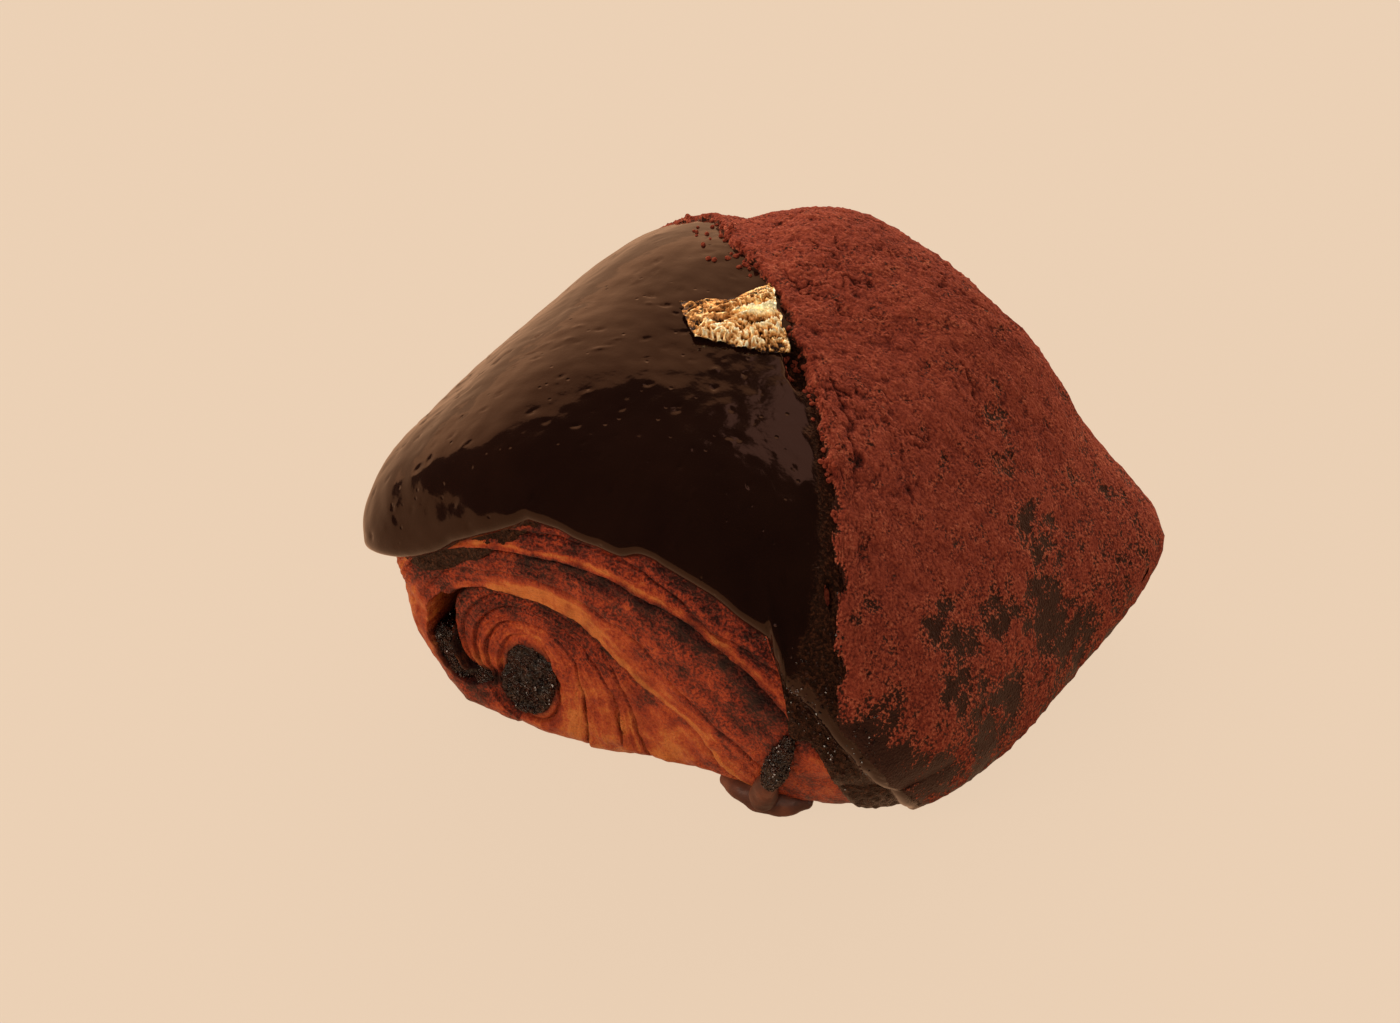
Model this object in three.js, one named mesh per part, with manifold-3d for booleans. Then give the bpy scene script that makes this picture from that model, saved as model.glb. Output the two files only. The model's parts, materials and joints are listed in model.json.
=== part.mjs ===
// Pain au chocolat: a rolled pastry with two chocolate sticks, a poured chocolate coat and a flake of gold leaf.
// Millimetres, +Z up. X runs across the roll, Y along it, and the origin is the middle of the flat base.
import * as THREE from 'three'
import Module from 'manifold-3d'

const wasm = await Module()
wasm.setup()

// Driving dimensions
const rollStart = -39.4 // Y of the near cut end
const rollEnd = 42.4 // Y of the far cut end
const rollCentre = { x: -17.6, z: 12.3 } // the stick that the sheet is rolled round
const originShift = [2.18, -0.86, 0] // brings the middle of the whole over the origin
const stickLength = 80
const jointGap = 0.35 // clearance kept between neighbouring pieces
const settle = 0.4 // the base is pressed flat by this much
const columnCount = 46 // columns of the dough round the roll
const degree = Math.PI / 180

// The dough's outline across the roll, as named points [x, z] at three stations along it.
const outlines = {
  near: {
    baseLeft: [-33.2, 0], bulge: [-49.2, 22.5], shoulder: [-43, 36.5], crown: [-26, 47.2], ridge: [-4, 48],
    slopeHigh: [15, 42], slopeLow: [31, 25.5], foot: [42, 11.2], baseRight: [26, 0], baseMiddle: [-16, 0],
  },
  middle: {
    baseLeft: [-35.4, 0], bulge: [-49.8, 24], shoulder: [-42, 39.8], crown: [-26.5, 51], ridge: [-5.5, 52],
    slopeHigh: [17.3, 45], slopeLow: [36.5, 27.2], foot: [43.2, 6.2], baseRight: [29.5, 0], baseMiddle: [-16, 0],
  },
  far: {
    baseLeft: [-35, 0], bulge: [-47.2, 22.8], shoulder: [-41.3, 37.4], crown: [-22.5, 48.7], ridge: [-5.2, 53.2],
    slopeHigh: [20.8, 43], slopeLow: [32.3, 26], foot: [51.2, 12.2], baseRight: [29.5, 0], baseMiddle: [-16, 0],
  },
}

// How squarely each end turns into the sides at the same ten points: 2 is a round end, 9 a nearly sharp one.
const endRoundness = {
  near: [7, 4.3, 8, 8.4, 5.8, 6, 7.2, 3.8, 3.6, 9],
  far: [7, 7.2, 7, 3.6, 7, 6, 8.8, 6, 3.2, 9],
}

// The rolled sheet's outer face, as a share of the way from the roll's middle to the outline. It starts under the
// middle stick and turns clockwise, so each row is one turn, read at the bearings below.
const sheetTip = 208 // bearing of the sheet's first edge, in degrees from +X towards +Z
const bearings = [180, 135, 90, 45, 10, -2, -15, -90, -145]
const sheetTurns = [
  [0.15, 0.19, 0.22, 0.19, 0.16, 0.16, 0.2, 0.58, 0.36],
  [0.27, 0.32, 0.34, 0.345, 0.295, 0.31, 0.37, 0.68, 0.48],
  [0.42, 0.46, 0.455, 0.47, 0.485, 0.56, 0.75, 0.8, 0.62],
  [0.63, 0.67, 0.7, 0.71, 0.74, 0.7, 0.82, 0.9, 0.78],
  [0.8, 0.84, 0.85, 0.81, 0.84, 0.9, 0.95, 0.97, 0.97],
]
const tailTurn = 4.58 // turns of sheet before its tail ends at the foot
const creaseDepth = 1.1 // how far the gaps between turns sink into the cut end
const deepCreaseDepth = 2 // the two creases that frame the widest turn
const deepCreaseTurns = [1.95, 3.75]
const coreSink = 1.6 // the inner turns stand back from the outer ones
const coreTurns = [2.65, 3.05] // the sheet comes forward from the core between these turns
const heel = { from: -48, to: -12, sink: 5.2 } // the cut end's lower edge is drawn in up to the sheet's tail
const turnShape = [[0.12, 0.3], [0.45, 0], [0.82, 0.25]] // [share across the turn, share of the crease depth]
const wallStart = 0.95 // share of the outline where the cut end becomes the side wall
const wallSteps = 7

// Chocolate
const coreStick = { x: -19.1, z: 11.1, width: 8, height: 12.2, lean: 12, sides: 14 }
const sideStickSpine = [[-33.6, 12.6], [-32.6, 9.6], [-30, 7.6], [-26, 8.6]]
const sideStickHalf = [1.7, 1.9, 1.7, 1]
const hollowSpine = [[-34.4, 12.4], [-33.5, 16], [-32.9, 20.2], [-31.4, 22.8]]
const hollowHalf = [1.5, 1.7, 1.6, 0.4]
const hollowDepth = 13
const seepSpine = [[23.3, -38, 19.2], [22.2, -38.1, 14.8], [20.8, -37.9, 9.6], [19.4, -37, 4.4]]
const seepRadii = [1, 1.8, 1.9, 1.8]
const poolSpine = [[11.4, -34.4, 2.6], [14.5, -35.4, 2.6], [18.8, -35.2, 2.7], [23.2, -32.6, 3]]
const poolRadii = [1, 1.9, 2.3, 1.4]

// The coat: its lower edge is a height at each bearing round the middle of the pastry.
const coatMiddle = new THREE.Vector3(-6, 1.5, 15)
const coatThickness = 2.3
const lipSwell = 0.7 // extra thickness of the rounded lip
const swellBearings = { in: [120, 150], out: [-70, -40] } // where the lip takes its swell and loses it
const lipEdge = [
  [-180, 22.5], [-150, 21.4], [-138, 22.6], [-134, 24.6], [-128, 27], [-124, 28.6], [-119, 31.4], [-115, 33.4],
  [-111, 36.4], [-105, 40.2], [-100, 41.4], [-95, 40.7], [-88, 40.5], [-80, 41.4], [-72, 39.9], [-65, 37.8],
  [-61, 36.2], [-56, 33.4], [-54.5, 29], [-52.5, 20.5], [-50, 19.4], [-48, 16.4], [-45, 10], [-42, 5.4],
  [-36, 2.6], [-20, 2.2], [0, 2.6], [14, 4.4], [30, 8], [40, 16], [50, 29], [62, 38], [90, 42],
  [112, 38], [130, 29], [150, 24], [180, 22.5],
]
const coatColumns = 60
const coatRows = [0.12, 0.26, 0.4, 0.53, 0.65, 0.75, 0.84, 0.91, 0.955, 0.985] // shares of the way down to the lip
const lipStart = 0.75 // share at which the coat starts to swell towards its lip
const coatBack = 3 // how far the uncut coat reaches into the dough before the dough is cut from it
const step = { from: -55, to: -37, width: 7.5, thickness: 1.15 } // a thin first coat that shows below the lip

// Gold leaf: a torn flake lying on the coat near the ridge
const leafOutline = [[-17.2, 2.5], [-13.6, 4.8], [-10.2, 8.6], [-6.6, 12.7], [-2.8, 8.8], [1.6, 2.8], [2.6, 0.6],
  [-1.6, -2.2], [-6.8, -4.8], [-11.3, -4.4], [-14.4, -0.6]]
const leafThickness = 0.6
const leafGap = 0.45 // the leaf bridges the coat's flat facets

const lerp = (a, b, t) => a + (b - a) * t

// Value at x of a list of [position, value] pairs in rising order
function along(pairs, x) {
  const next = pairs.findIndex(([position]) => position > x)
  if (next < 0) return pairs[pairs.length - 1][1]
  if (next === 0) return pairs[0][1]
  const [x0, y0] = pairs[next - 1]
  const [x1, y1] = pairs[next]
  return lerp(y0, y1, (x - x0) / (x1 - x0))
}

// The same list read along a smooth curve that keeps each value a peak only where the list has one
function smoothAlong(pairs, x) {
  const last = pairs.length - 2
  const found = pairs.findIndex(([position]) => position > x) - 1
  const i = THREE.MathUtils.clamp(found < -1 ? last : found, 0, last)
  const slope = (k) => (pairs[k + 1][1] - pairs[k][1]) / (pairs[k + 1][0] - pairs[k][0])
  const tangent = (k) => {
    if (k === 0 || k > last) return 0
    const [before, after] = [slope(k - 1), slope(k)]
    return before * after > 0 ? (2 * before * after) / (before + after) : 0
  }
  const width = pairs[i + 1][0] - pairs[i][0]
  const t = (x - pairs[i][0]) / width
  return (1 + 2 * t) * (1 - t) ** 2 * pairs[i][1] + t * (1 - t) ** 2 * width * tangent(i)
    + t * t * (3 - 2 * t) * pairs[i + 1][1] + t * t * (t - 1) * width * tangent(i + 1)
}

// A closed outline as [bearing, radius, roundness] samples round the roll's middle, bearing rising from -180 to 180
function polarOutline(points, roundness) {
  const samples = 720
  const at = (list, i) => list[(i + list.length) % list.length]
  const knots = Object.values(points).map(([x, z]) => new THREE.Vector3(x, z, 0))
  const curve = new THREE.CatmullRomCurve3(knots, true, 'catmullrom', 0.5)
  const polar = []
  for (let i = 0; i < samples; i++) {
    const t = (i / samples) * knots.length
    const knot = Math.floor(t)
    const point = curve.getPoint(i / samples)
    const x = point.x - rollCentre.x
    const z = Math.max(point.y, 0) - rollCentre.z
    const round = lerp(at(roundness, knot), at(roundness, knot + 1), t - knot)
    polar.push([Math.atan2(z, x) / degree, Math.hypot(x, z), round])
  }
  polar.sort((a, b) => a[0] - b[0])
  const [first, last] = [polar[0], polar[polar.length - 1]]
  return [[last[0] - 360, last[1], last[2]], ...polar, [first[0] + 360, first[1], first[2]]]
}

const polar = {
  near: polarOutline(outlines.near, endRoundness.near),
  middle: polarOutline(outlines.middle, endRoundness.near),
  far: polarOutline(outlines.far, endRoundness.far),
}

function lookUp(samples, bearing, column) {
  const wrapped = ((((bearing + 180) % 360) + 360) % 360) - 180
  let low = 0
  let high = samples.length - 1
  while (high - low > 1) {
    const middle = (low + high) >> 1
    if (samples[middle][0] > wrapped) high = middle
    else low = middle
  }
  const t = (wrapped - samples[low][0]) / (samples[high][0] - samples[low][0])
  return lerp(samples[low][column], samples[high][column], t)
}

// Outline radius at a bearing and at v, which runs from -1 at the near end to 1 at the far one
function outlineRadius(bearing, v) {
  const near = (v * (v - 1)) / 2
  const far = (v * (v + 1)) / 2
  return lookUp(polar.near, bearing, 1) * near + lookUp(polar.middle, bearing, 1) * (1 - v * v)
    + lookUp(polar.far, bearing, 1) * far
}

const roundnessAt = (bearing, v) => lookUp(v < 0 ? polar.near : polar.far, bearing, 2)

// Point on the dough's skin: share 1 is the widest outline, and smaller shares lie on the rounded ends.
// grow moves the skin outwards, and sink moves the cut end inwards.
function skinPoint(bearing, share, v, grow = 0, sink = 0) {
  const radius = (outlineRadius(bearing, v) + grow) * share
  const middle = (rollStart + rollEnd) / 2
  const half = (rollEnd - rollStart) / 2
  const y = middle + v * (half + grow) - Math.sign(v) * sink
  const x = rollCentre.x + radius * Math.cos(bearing * degree)
  const z = rollCentre.z + radius * Math.sin(bearing * degree)
  return new THREE.Vector3(x, y, Math.max(z - settle, grow > 0 ? -grow : 0))
}

// Distance along the roll at which an outline of this share is reached, on the side of the given sign
function endPosition(bearing, share, sign) {
  const n = roundnessAt(bearing, sign)
  return sign * (1 - share ** n) ** (1 / n)
}

// Sheet's outer face as a share of the outline after a number of turns from its first edge
const sheetFace = (() => {
  const pairs = [[0, 0.12]]
  sheetTurns.forEach((turn, k) => turn.forEach((share, i) => {
    const bearing = bearings[i] > sheetTip - 360 ? bearings[i] : bearings[i] + 360
    pairs.push([k + (sheetTip - bearing) / 360, share])
  }))
  return (turns) => smoothAlong(pairs, turns)
})()

// How far the cut end stands back at a turn of the sheet
const turnSink = (turn) => coreSink * (1 - THREE.MathUtils.smoothstep(turn, ...coreTurns))

// How far the cut end's lower edge is drawn in
function heelSink(bearing, share) {
  if (bearing > heel.to) return 0
  return heel.sink * THREE.MathUtils.smoothstep(bearing, heel.from, heel.to) * THREE.MathUtils.smoothstep(share, 0.5, 0.9)
}

// Node shares and sinks of one column of the cut end, from the middle outwards
function endColumn(bearing) {
  const fraction = (((sheetTip - bearing) / 360) % 1 + 1) % 1
  const faces = [{ share: 0.1, depth: 0.3, turn: 0 }]
  for (let turn = fraction; turn < sheetTurns.length; turn++) {
    const deep = turn > deepCreaseTurns[0] && turn < deepCreaseTurns[1]
    const fade = THREE.MathUtils.clamp((tailTurn - turn) / 0.5, 0, 1)
    faces.push({ share: sheetFace(turn), depth: fade * (deep ? deepCreaseDepth : creaseDepth), turn })
  }
  faces.push({ share: wallStart + 0.02, depth: 0, turn: sheetTurns.length })
  const nodes = []
  for (let i = 0; i + 1 < faces.length; i++) {
    const [inner, outer] = [faces[i], faces[i + 1]]
    if (outer.share - inner.share < 0.03) continue
    nodes.push({ share: inner.share, sink: inner.depth + turnSink(inner.turn) })
    for (const [across, depth] of turnShape) {
      const share = lerp(inner.share, outer.share, across)
      nodes.push({ share, sink: depth * lerp(inner.depth, outer.depth, across) + turnSink(outer.turn) })
    }
  }
  return nodes.filter(({ share }) => share < wallStart - 0.01)
    .map(({ share, sink }) => ({ share, sink: sink + heelSink(bearing, share) }))
}

// One column of the dough from the near pole to the far one, as { order, point }
function doughColumn(bearing) {
  const nodes = endColumn(bearing)
  const end = (sign) => nodes.map(({ share, sink }) => ({
    order: sign < 0 ? share : 3 - share,
    point: skinPoint(bearing, share, endPosition(bearing, share, sign), 0, sink),
  }))
  return [...end(-1), ...wallColumn(bearing, 0, wallSteps), ...end(1).reverse()]
}

// The side wall's nodes of one column, evenly spaced between the two ends
function wallColumn(bearing, grow, steps) {
  const from = endPosition(bearing, wallStart, -1)
  const to = endPosition(bearing, wallStart, 1)
  return Array.from({ length: steps + 1 }, (_, i) => {
    const v = lerp(from, to, i / steps)
    const n = roundnessAt(bearing, v)
    const share = (1 - Math.abs(v) ** n) ** (1 / n)
    return { order: 1 + i / steps, point: skinPoint(bearing, share, v, grow) }
  })
}

// Closed surface from columns of { order, point } between two poles; neighbouring columns are zipped in order
function zipColumns(columns, nearPole, farPole) {
  const points = [nearPole, farPole]
  const faces = []
  const rows = columns.map((column) => column.map(({ order, point }) => {
    points.push(point)
    return { order, index: points.length - 1 }
  }))
  rows.forEach((row, j) => {
    const a = row
    const b = rows[(j + 1) % rows.length]
    faces.push([0, a[0].index, b[0].index])
    let [i, k] = [0, 0]
    while (i < a.length - 1 || k < b.length - 1) {
      const stepA = k === b.length - 1 || (i < a.length - 1 && a[i + 1].order <= b[k + 1].order)
      if (stepA) {
        faces.push([a[i].index, a[i + 1].index, b[k].index])
        i++
      } else {
        faces.push([a[i].index, b[k + 1].index, b[k].index])
        k++
      }
    }
    faces.push([a[i].index, 1, b[k].index])
  })
  return closedSolid(points, faces)
}

// Solid from points and triangles, turned the right way out
function closedSolid(points, faces) {
  const build = (list) => new wasm.Manifold(new wasm.Mesh({
    numProp: 3,
    vertProperties: new Float32Array(points.flatMap((p) => [p.x, p.y, p.z])),
    triVerts: new Uint32Array(list.flat()),
  }))
  const solid = build(faces)
  return solid.volume() > 0 ? solid : build(faces.map(([a, b, c]) => [a, c, b]))
}

// Even bearings round the roll, about the same distance apart along the outline
const columnBearings = (count) => {
  const knots = Object.values(outlines.middle).map(([x, z]) => new THREE.Vector2(x, z))
  const spline = new THREE.SplineCurve([...knots, knots[0]])
  return spline.getSpacedPoints(count).slice(0, count)
    .map((p) => Math.atan2(Math.max(p.y, 0) - rollCentre.z, p.x - rollCentre.x) / degree)
    .sort((a, b) => b - a)
}

const poleAt = (y) => new THREE.Vector3(rollCentre.x, y, rollCentre.z - settle)

function makeRoll() {
  const columns = columnBearings(columnCount).map(doughColumn)
  return zipColumns(columns, poleAt(rollStart + coreSink), poleAt(rollEnd - coreSink))
}

// The dough's envelope without its creases, grown by a clearance, to cut its neighbours with
function makeEnvelope(grow) {
  const shares = [0.25, 0.45, 0.6, 0.72, 0.82, 0.89]
  const column = (bearing) => {
    const end = (sign) => shares.map((share) => ({
      order: sign < 0 ? share : 3 - share,
      point: skinPoint(bearing, share, endPosition(bearing, share, sign), grow),
    }))
    return [...end(-1), ...wallColumn(bearing, grow, wallSteps), ...end(1).reverse()]
  }
  const columns = columnBearings(columnCount).map(column)
  return zipColumns(columns, poleAt(rollStart - grow), poleAt(rollEnd + grow))
}

// Straight prism along Y from an outline [x, z], between two positions along the roll
function prism(outline, from, to) {
  const flat = outline.map(([x, z]) => new THREE.Vector2(x, z))
  if (THREE.ShapeUtils.isClockWise(flat)) flat.reverse()
  const ring = (y) => flat.map((p) => new THREE.Vector3(p.x, y, p.y))
  const count = flat.length
  const faces = []
  for (let i = 0; i < count; i++) {
    const next = (i + 1) % count
    faces.push([i, next, count + i], [next, count + next, count + i])
  }
  THREE.ShapeUtils.triangulateShape(flat, []).forEach((cap) => {
    const [a, b, c] = THREE.ShapeUtils.isClockWise(cap.map((i) => flat[i])) ? [cap[0], cap[2], cap[1]] : cap
    faces.push([a, c, b], [count + a, count + b, count + c])
  })
  return closedSolid([...ring(from), ...ring(to)], faces)
}

// Outline of a bent strip: a spine of points with a half width at each, grown by a clearance
function stripOutline(spine, halves, grow = 0, steps = 9) {
  const curve = new THREE.SplineCurve(spine.map(([x, z]) => new THREE.Vector2(x, z)))
  const widths = new THREE.SplineCurve(halves.map((half, i) => new THREE.Vector2(i, half)))
  const sides = [[], []]
  for (let i = 0; i <= steps; i++) {
    const point = curve.getPoint(i / steps)
    const tangent = curve.getTangent(i / steps)
    const end = i === 0 ? -1 : i === steps ? 1 : 0
    const half = (widths.getPoint(i / steps).y) * (end ? 0.6 : 1) + grow
    const x = point.x + tangent.x * end * grow
    const z = point.y + tangent.y * end * grow
    sides[0].push([x - tangent.y * half, z + tangent.x * half])
    sides[1].unshift([x + tangent.y * half, z - tangent.x * half])
  }
  return [...sides[0], ...sides[1]]
}

// Outline of the middle stick, softened to an oval by the heat
function coreStickOutline(grow = 0) {
  const { x, z, width, height, lean, sides } = coreStick
  const [cos, sin] = [Math.cos(lean * degree), Math.sin(lean * degree)]
  return Array.from({ length: sides }, (_, i) => {
    const angle = (i / sides) * 2 * Math.PI
    const across = (width / 2 + grow) * Math.cos(angle)
    const up = (height / 2 + grow) * Math.sin(angle)
    return [x + across * cos + up * sin, z - across * sin + up * cos]
  })
}

// Round-ended bead of chocolate along a spine of 3D points with a radius at each
function bead(spine, radii, grow = 0, steps = 7, sides = 10) {
  const curve = new THREE.CatmullRomCurve3(spine.map((p) => new THREE.Vector3(...p)))
  const widths = new THREE.SplineCurve(radii.map((radius, i) => new THREE.Vector2(i, radius)))
  const across = new THREE.Vector3(0, 1, 0)
  const columns = Array.from({ length: sides }, () => [])
  for (let i = 0; i <= steps; i++) {
    const centre = curve.getPoint(i / steps)
    const tangent = curve.getTangent(i / steps)
    const side = new THREE.Vector3().crossVectors(tangent, across).normalize()
    const out = new THREE.Vector3().crossVectors(side, tangent)
    const radius = widths.getPoint(i / steps).y + grow
    columns.forEach((column, j) => {
      const angle = (j / sides) * 2 * Math.PI
      const point = centre.clone().addScaledVector(side, radius * Math.cos(angle))
      column.push({ order: i, point: point.addScaledVector(out, radius * Math.sin(angle)) })
    })
  }
  const tip = (t, sign) => curve.getPoint(t)
    .addScaledVector(curve.getTangent(t), sign * (widths.getPoint(t).y + grow) * 0.7)
  return zipColumns(columns, tip(0, -1), tip(1, 1))
}

// Above 0 outside the dough's skin, below 0 inside it
function outside(point) {
  const v = (point.y - (rollStart + rollEnd) / 2) / ((rollEnd - rollStart) / 2)
  if (Math.abs(v) >= 1) return 1
  const x = point.x - rollCentre.x
  const z = point.z - rollCentre.z + settle
  const bearing = Math.atan2(z, x) / degree
  const n = roundnessAt(bearing, v)
  return (Math.hypot(x, z) / outlineRadius(bearing, v)) ** n + Math.abs(v) ** n - 1
}

// Value between two limits at which a test turns from true to false
function turningPoint(from, to, test) {
  let [low, high] = [from, to]
  for (let i = 0; i < 26; i++) {
    const middle = (low + high) / 2
    if (test(middle)) low = middle
    else high = middle
  }
  return low
}

// Distance from the coat's middle to the skin along a direction
const reach = (direction) => turningPoint(0, 90, (distance) => (
  outside(coatMiddle.clone().addScaledVector(direction, distance)) < 0
))

function directionAt(bearing, elevation) {
  const flat = Math.cos(elevation)
  return new THREE.Vector3(flat * Math.cos(bearing * degree), flat * Math.sin(bearing * degree), Math.sin(elevation))
}

// Elevation at which the skin comes down to the lip's height
function lipElevation(bearing) {
  const height = along(lipEdge, bearing)
  return turningPoint(-60 * degree, 89 * degree, (elevation) => {
    const direction = directionAt(bearing, elevation)
    return coatMiddle.z + direction.z * reach(direction) < height
  })
}

// Skin point pushed out by a thickness measured square to the skin
function coatPoint(bearing, elevation, thickness) {
  const direction = directionAt(bearing, elevation)
  const distance = reach(direction)
  const turn = 0.02 // radians to the neighbours that give the skin's slope
  const up = reach(directionAt(bearing, elevation + turn))
  const round = reach(directionAt(bearing + turn / degree, elevation))
  const slopeUp = (up - distance) / turn / distance
  const slopeRound = (round - distance) / (turn * Math.max(Math.cos(elevation), 0.1)) / distance
  const stretch = Math.min(Math.hypot(1, slopeUp, slopeRound), 1.7)
  return coatMiddle.clone().addScaledVector(direction, distance + thickness * stretch)
}

// Thickness of the coat at a share of the way down to the lip
function thicknessAt(bearing, elevation, lip, t) {
  const inStep = bearing > step.from && bearing < step.to
  const toLip = coatPoint(bearing, elevation, 0).distanceTo(coatPoint(bearing, lip, 0))
  if (inStep && toLip < step.width) return step.thickness
  const spared = THREE.MathUtils.smoothstep(bearing, ...swellBearings.out)
    * (1 - THREE.MathUtils.smoothstep(bearing, ...swellBearings.in))
  return coatThickness + lipSwell * (1 - spared) * THREE.MathUtils.smoothstep(t, lipStart, 1)
}

// Poured coat before the dough is cut from it: a cap with a rounded lip and a thin step at the near right corner
function makeCoat() {
  const top = Math.PI / 2
  const backRows = coatRows.slice(0, -3).reverse()
  const columns = Array.from({ length: coatColumns }, (_, j) => {
    const bearing = -180 + (j / coatColumns) * 360
    const lip = lipElevation(bearing)
    const front = coatRows.map((t) => {
      const elevation = lerp(top, lip, t)
      return { order: t, point: coatPoint(bearing, elevation, thicknessAt(bearing, elevation, lip, t)) }
    })
    const edge = [0.4 * thicknessAt(bearing, lip, lip, 1), -coatBack]
      .map((thickness, i) => ({ order: 1 + i / 2, point: coatPoint(bearing, lip, thickness) }))
    const back = backRows.map((t) => ({ order: 3 - t, point: coatPoint(bearing, lerp(top, lip, t), -coatBack) }))
    return [...front, ...edge, ...back]
  })
  return zipColumns(columns, coatPoint(0, top, coatThickness), coatPoint(0, top, -coatBack))
}

// Height of the coat's outside above a place on the plan
function coatHeight(x, y) {
  const flat = Math.hypot(x - coatMiddle.x, y - coatMiddle.y)
  const bearing = Math.atan2(y - coatMiddle.y, x - coatMiddle.x) / degree
  const pointAt = (elevation) => coatPoint(bearing, elevation, coatThickness)
  const elevation = turningPoint(0.2, Math.PI / 2, (angle) => {
    const point = pointAt(angle)
    return Math.hypot(point.x - coatMiddle.x, point.y - coatMiddle.y) > flat
  })
  return pointAt(elevation).z
}

// Flake of leaf that follows the coat under it
function makeLeaf() {
  const count = leafOutline.length
  const [middleX, middleY] = [0, 1].map((axis) => leafOutline.reduce((sum, p) => sum + p[axis] / count, 0))
  const [under, over] = [leafGap, leafGap + leafThickness]
  const pointAt = (x, y, lift) => new THREE.Vector3(x, y, coatHeight(x, y) + lift)
  const columns = leafOutline.map(([x, y]) => [[0.5, under], [1, under], [1, over], [0.5, over]]
    .map(([scale, lift], order) => ({ order, point: pointAt(lerp(middleX, x, scale), lerp(middleY, y, scale), lift) })))
  return zipColumns(columns, pointAt(middleX, middleY, under), pointAt(middleX, middleY, over))
}

function toMesh(name, solid, material) {
  const { vertProperties, triVerts, numProp } = solid.getMesh()
  const geometry = new THREE.BufferGeometry()
  const positions = new Float32Array((vertProperties.length / numProp) * 3)
  for (let i = 0; i < positions.length; i++) {
    positions[i] = vertProperties[Math.floor(i / 3) * numProp + (i % 3)]
  }
  geometry.setAttribute('position', new THREE.BufferAttribute(positions, 3))
  geometry.setIndex(new THREE.BufferAttribute(new Uint32Array(triVerts), 1))
  geometry.computeVertexNormals()
  const mesh = new THREE.Mesh(geometry, new THREE.MeshStandardMaterial(material))
  mesh.name = name
  return mesh
}

const stickStart = rollStart + coreSink - 0.4
const stickEnd = stickStart + stickLength
const openEnds = [rollStart - 2, rollEnd + 2]
const coreStickSolid = prism(coreStickOutline(), stickStart, stickEnd)
const sideStickSolid = prism(stripOutline(sideStickSpine, sideStickHalf), stickStart + 0.6, stickEnd - 0.6)
const hollow = stripOutline(hollowSpine, hollowHalf)
const roll = makeRoll()
  .subtract(prism(coreStickOutline(jointGap), ...openEnds))
  .subtract(prism(stripOutline(sideStickSpine, sideStickHalf, jointGap), ...openEnds))
  .subtract(prism(hollow, openEnds[0], rollStart + hollowDepth))
  .subtract(prism(hollow, rollEnd - hollowDepth, openEnds[1]))
const clearance = makeEnvelope(jointGap + 0.15)
const coat = makeCoat().subtract(clearance)
const seep = bead(seepSpine, seepRadii).add(bead(poolSpine, poolRadii)).subtract(clearance)

const pastry = new THREE.Group()
pastry.add(
  toMesh('dough_roll', roll, { color: 0x8c3a1e, roughness: 0.55, metalness: 0 }),
  toMesh('stick_core', coreStickSolid, { color: 0x2d1a15, roughness: 0.5, metalness: 0 }),
  toMesh('stick_side', sideStickSolid, { color: 0x2d1a15, roughness: 0.5, metalness: 0 }),
  toMesh('chocolate_coat', coat, { color: 0x2a1510, roughness: 0.22, metalness: 0 }),
  toMesh('chocolate_seep', seep, { color: 0x3a211a, roughness: 0.35, metalness: 0 }),
  toMesh('gold_leaf', makeLeaf(), { color: 0xc6945a, roughness: 0.3, metalness: 1 }),
)

pastry.position.set(...originShift)

export default pastry
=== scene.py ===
import json
import math
from functools import partial

import bpy
import numpy as np
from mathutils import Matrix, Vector

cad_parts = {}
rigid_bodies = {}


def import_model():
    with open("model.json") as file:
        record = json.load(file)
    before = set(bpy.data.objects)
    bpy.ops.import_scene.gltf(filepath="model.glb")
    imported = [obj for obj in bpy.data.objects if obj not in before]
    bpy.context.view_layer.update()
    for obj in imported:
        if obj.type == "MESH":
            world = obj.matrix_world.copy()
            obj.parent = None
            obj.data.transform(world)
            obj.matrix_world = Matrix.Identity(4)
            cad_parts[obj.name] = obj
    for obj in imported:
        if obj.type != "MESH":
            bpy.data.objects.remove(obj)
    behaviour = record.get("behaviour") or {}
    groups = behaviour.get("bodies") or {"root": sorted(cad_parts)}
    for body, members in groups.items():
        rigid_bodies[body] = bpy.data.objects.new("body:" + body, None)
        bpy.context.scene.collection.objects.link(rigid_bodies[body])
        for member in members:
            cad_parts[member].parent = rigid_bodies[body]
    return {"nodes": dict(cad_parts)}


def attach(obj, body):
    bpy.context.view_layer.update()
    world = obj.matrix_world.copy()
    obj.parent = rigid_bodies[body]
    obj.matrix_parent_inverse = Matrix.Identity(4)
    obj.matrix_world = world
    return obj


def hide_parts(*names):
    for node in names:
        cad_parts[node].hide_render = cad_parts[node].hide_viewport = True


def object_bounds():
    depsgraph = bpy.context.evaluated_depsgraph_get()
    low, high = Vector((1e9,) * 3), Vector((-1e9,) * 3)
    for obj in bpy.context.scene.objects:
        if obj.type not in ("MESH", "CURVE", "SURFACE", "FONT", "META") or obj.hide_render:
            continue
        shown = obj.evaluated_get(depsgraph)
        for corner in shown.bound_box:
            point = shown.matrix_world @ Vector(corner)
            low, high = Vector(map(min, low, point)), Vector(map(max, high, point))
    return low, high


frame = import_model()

cadBox = [list(corner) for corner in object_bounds()]
shift = np.array([2.18, -0.86, 0.0])  # from the roll's frame to the part's, in mm
millimetre = 0.001
print("frame loaded:", sorted(frame["nodes"]))


# ---- helpers: colour, nodes, noise, meshes ----

def hexColour(text):
    channels = [int(text[i:i + 2], 16) / 255 for i in (1, 3, 5)]
    linear = [c / 12.92 if c <= 0.04045 else ((c + 0.055) / 1.055) ** 2.4 for c in channels]
    return (*linear, 1.0)


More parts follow.
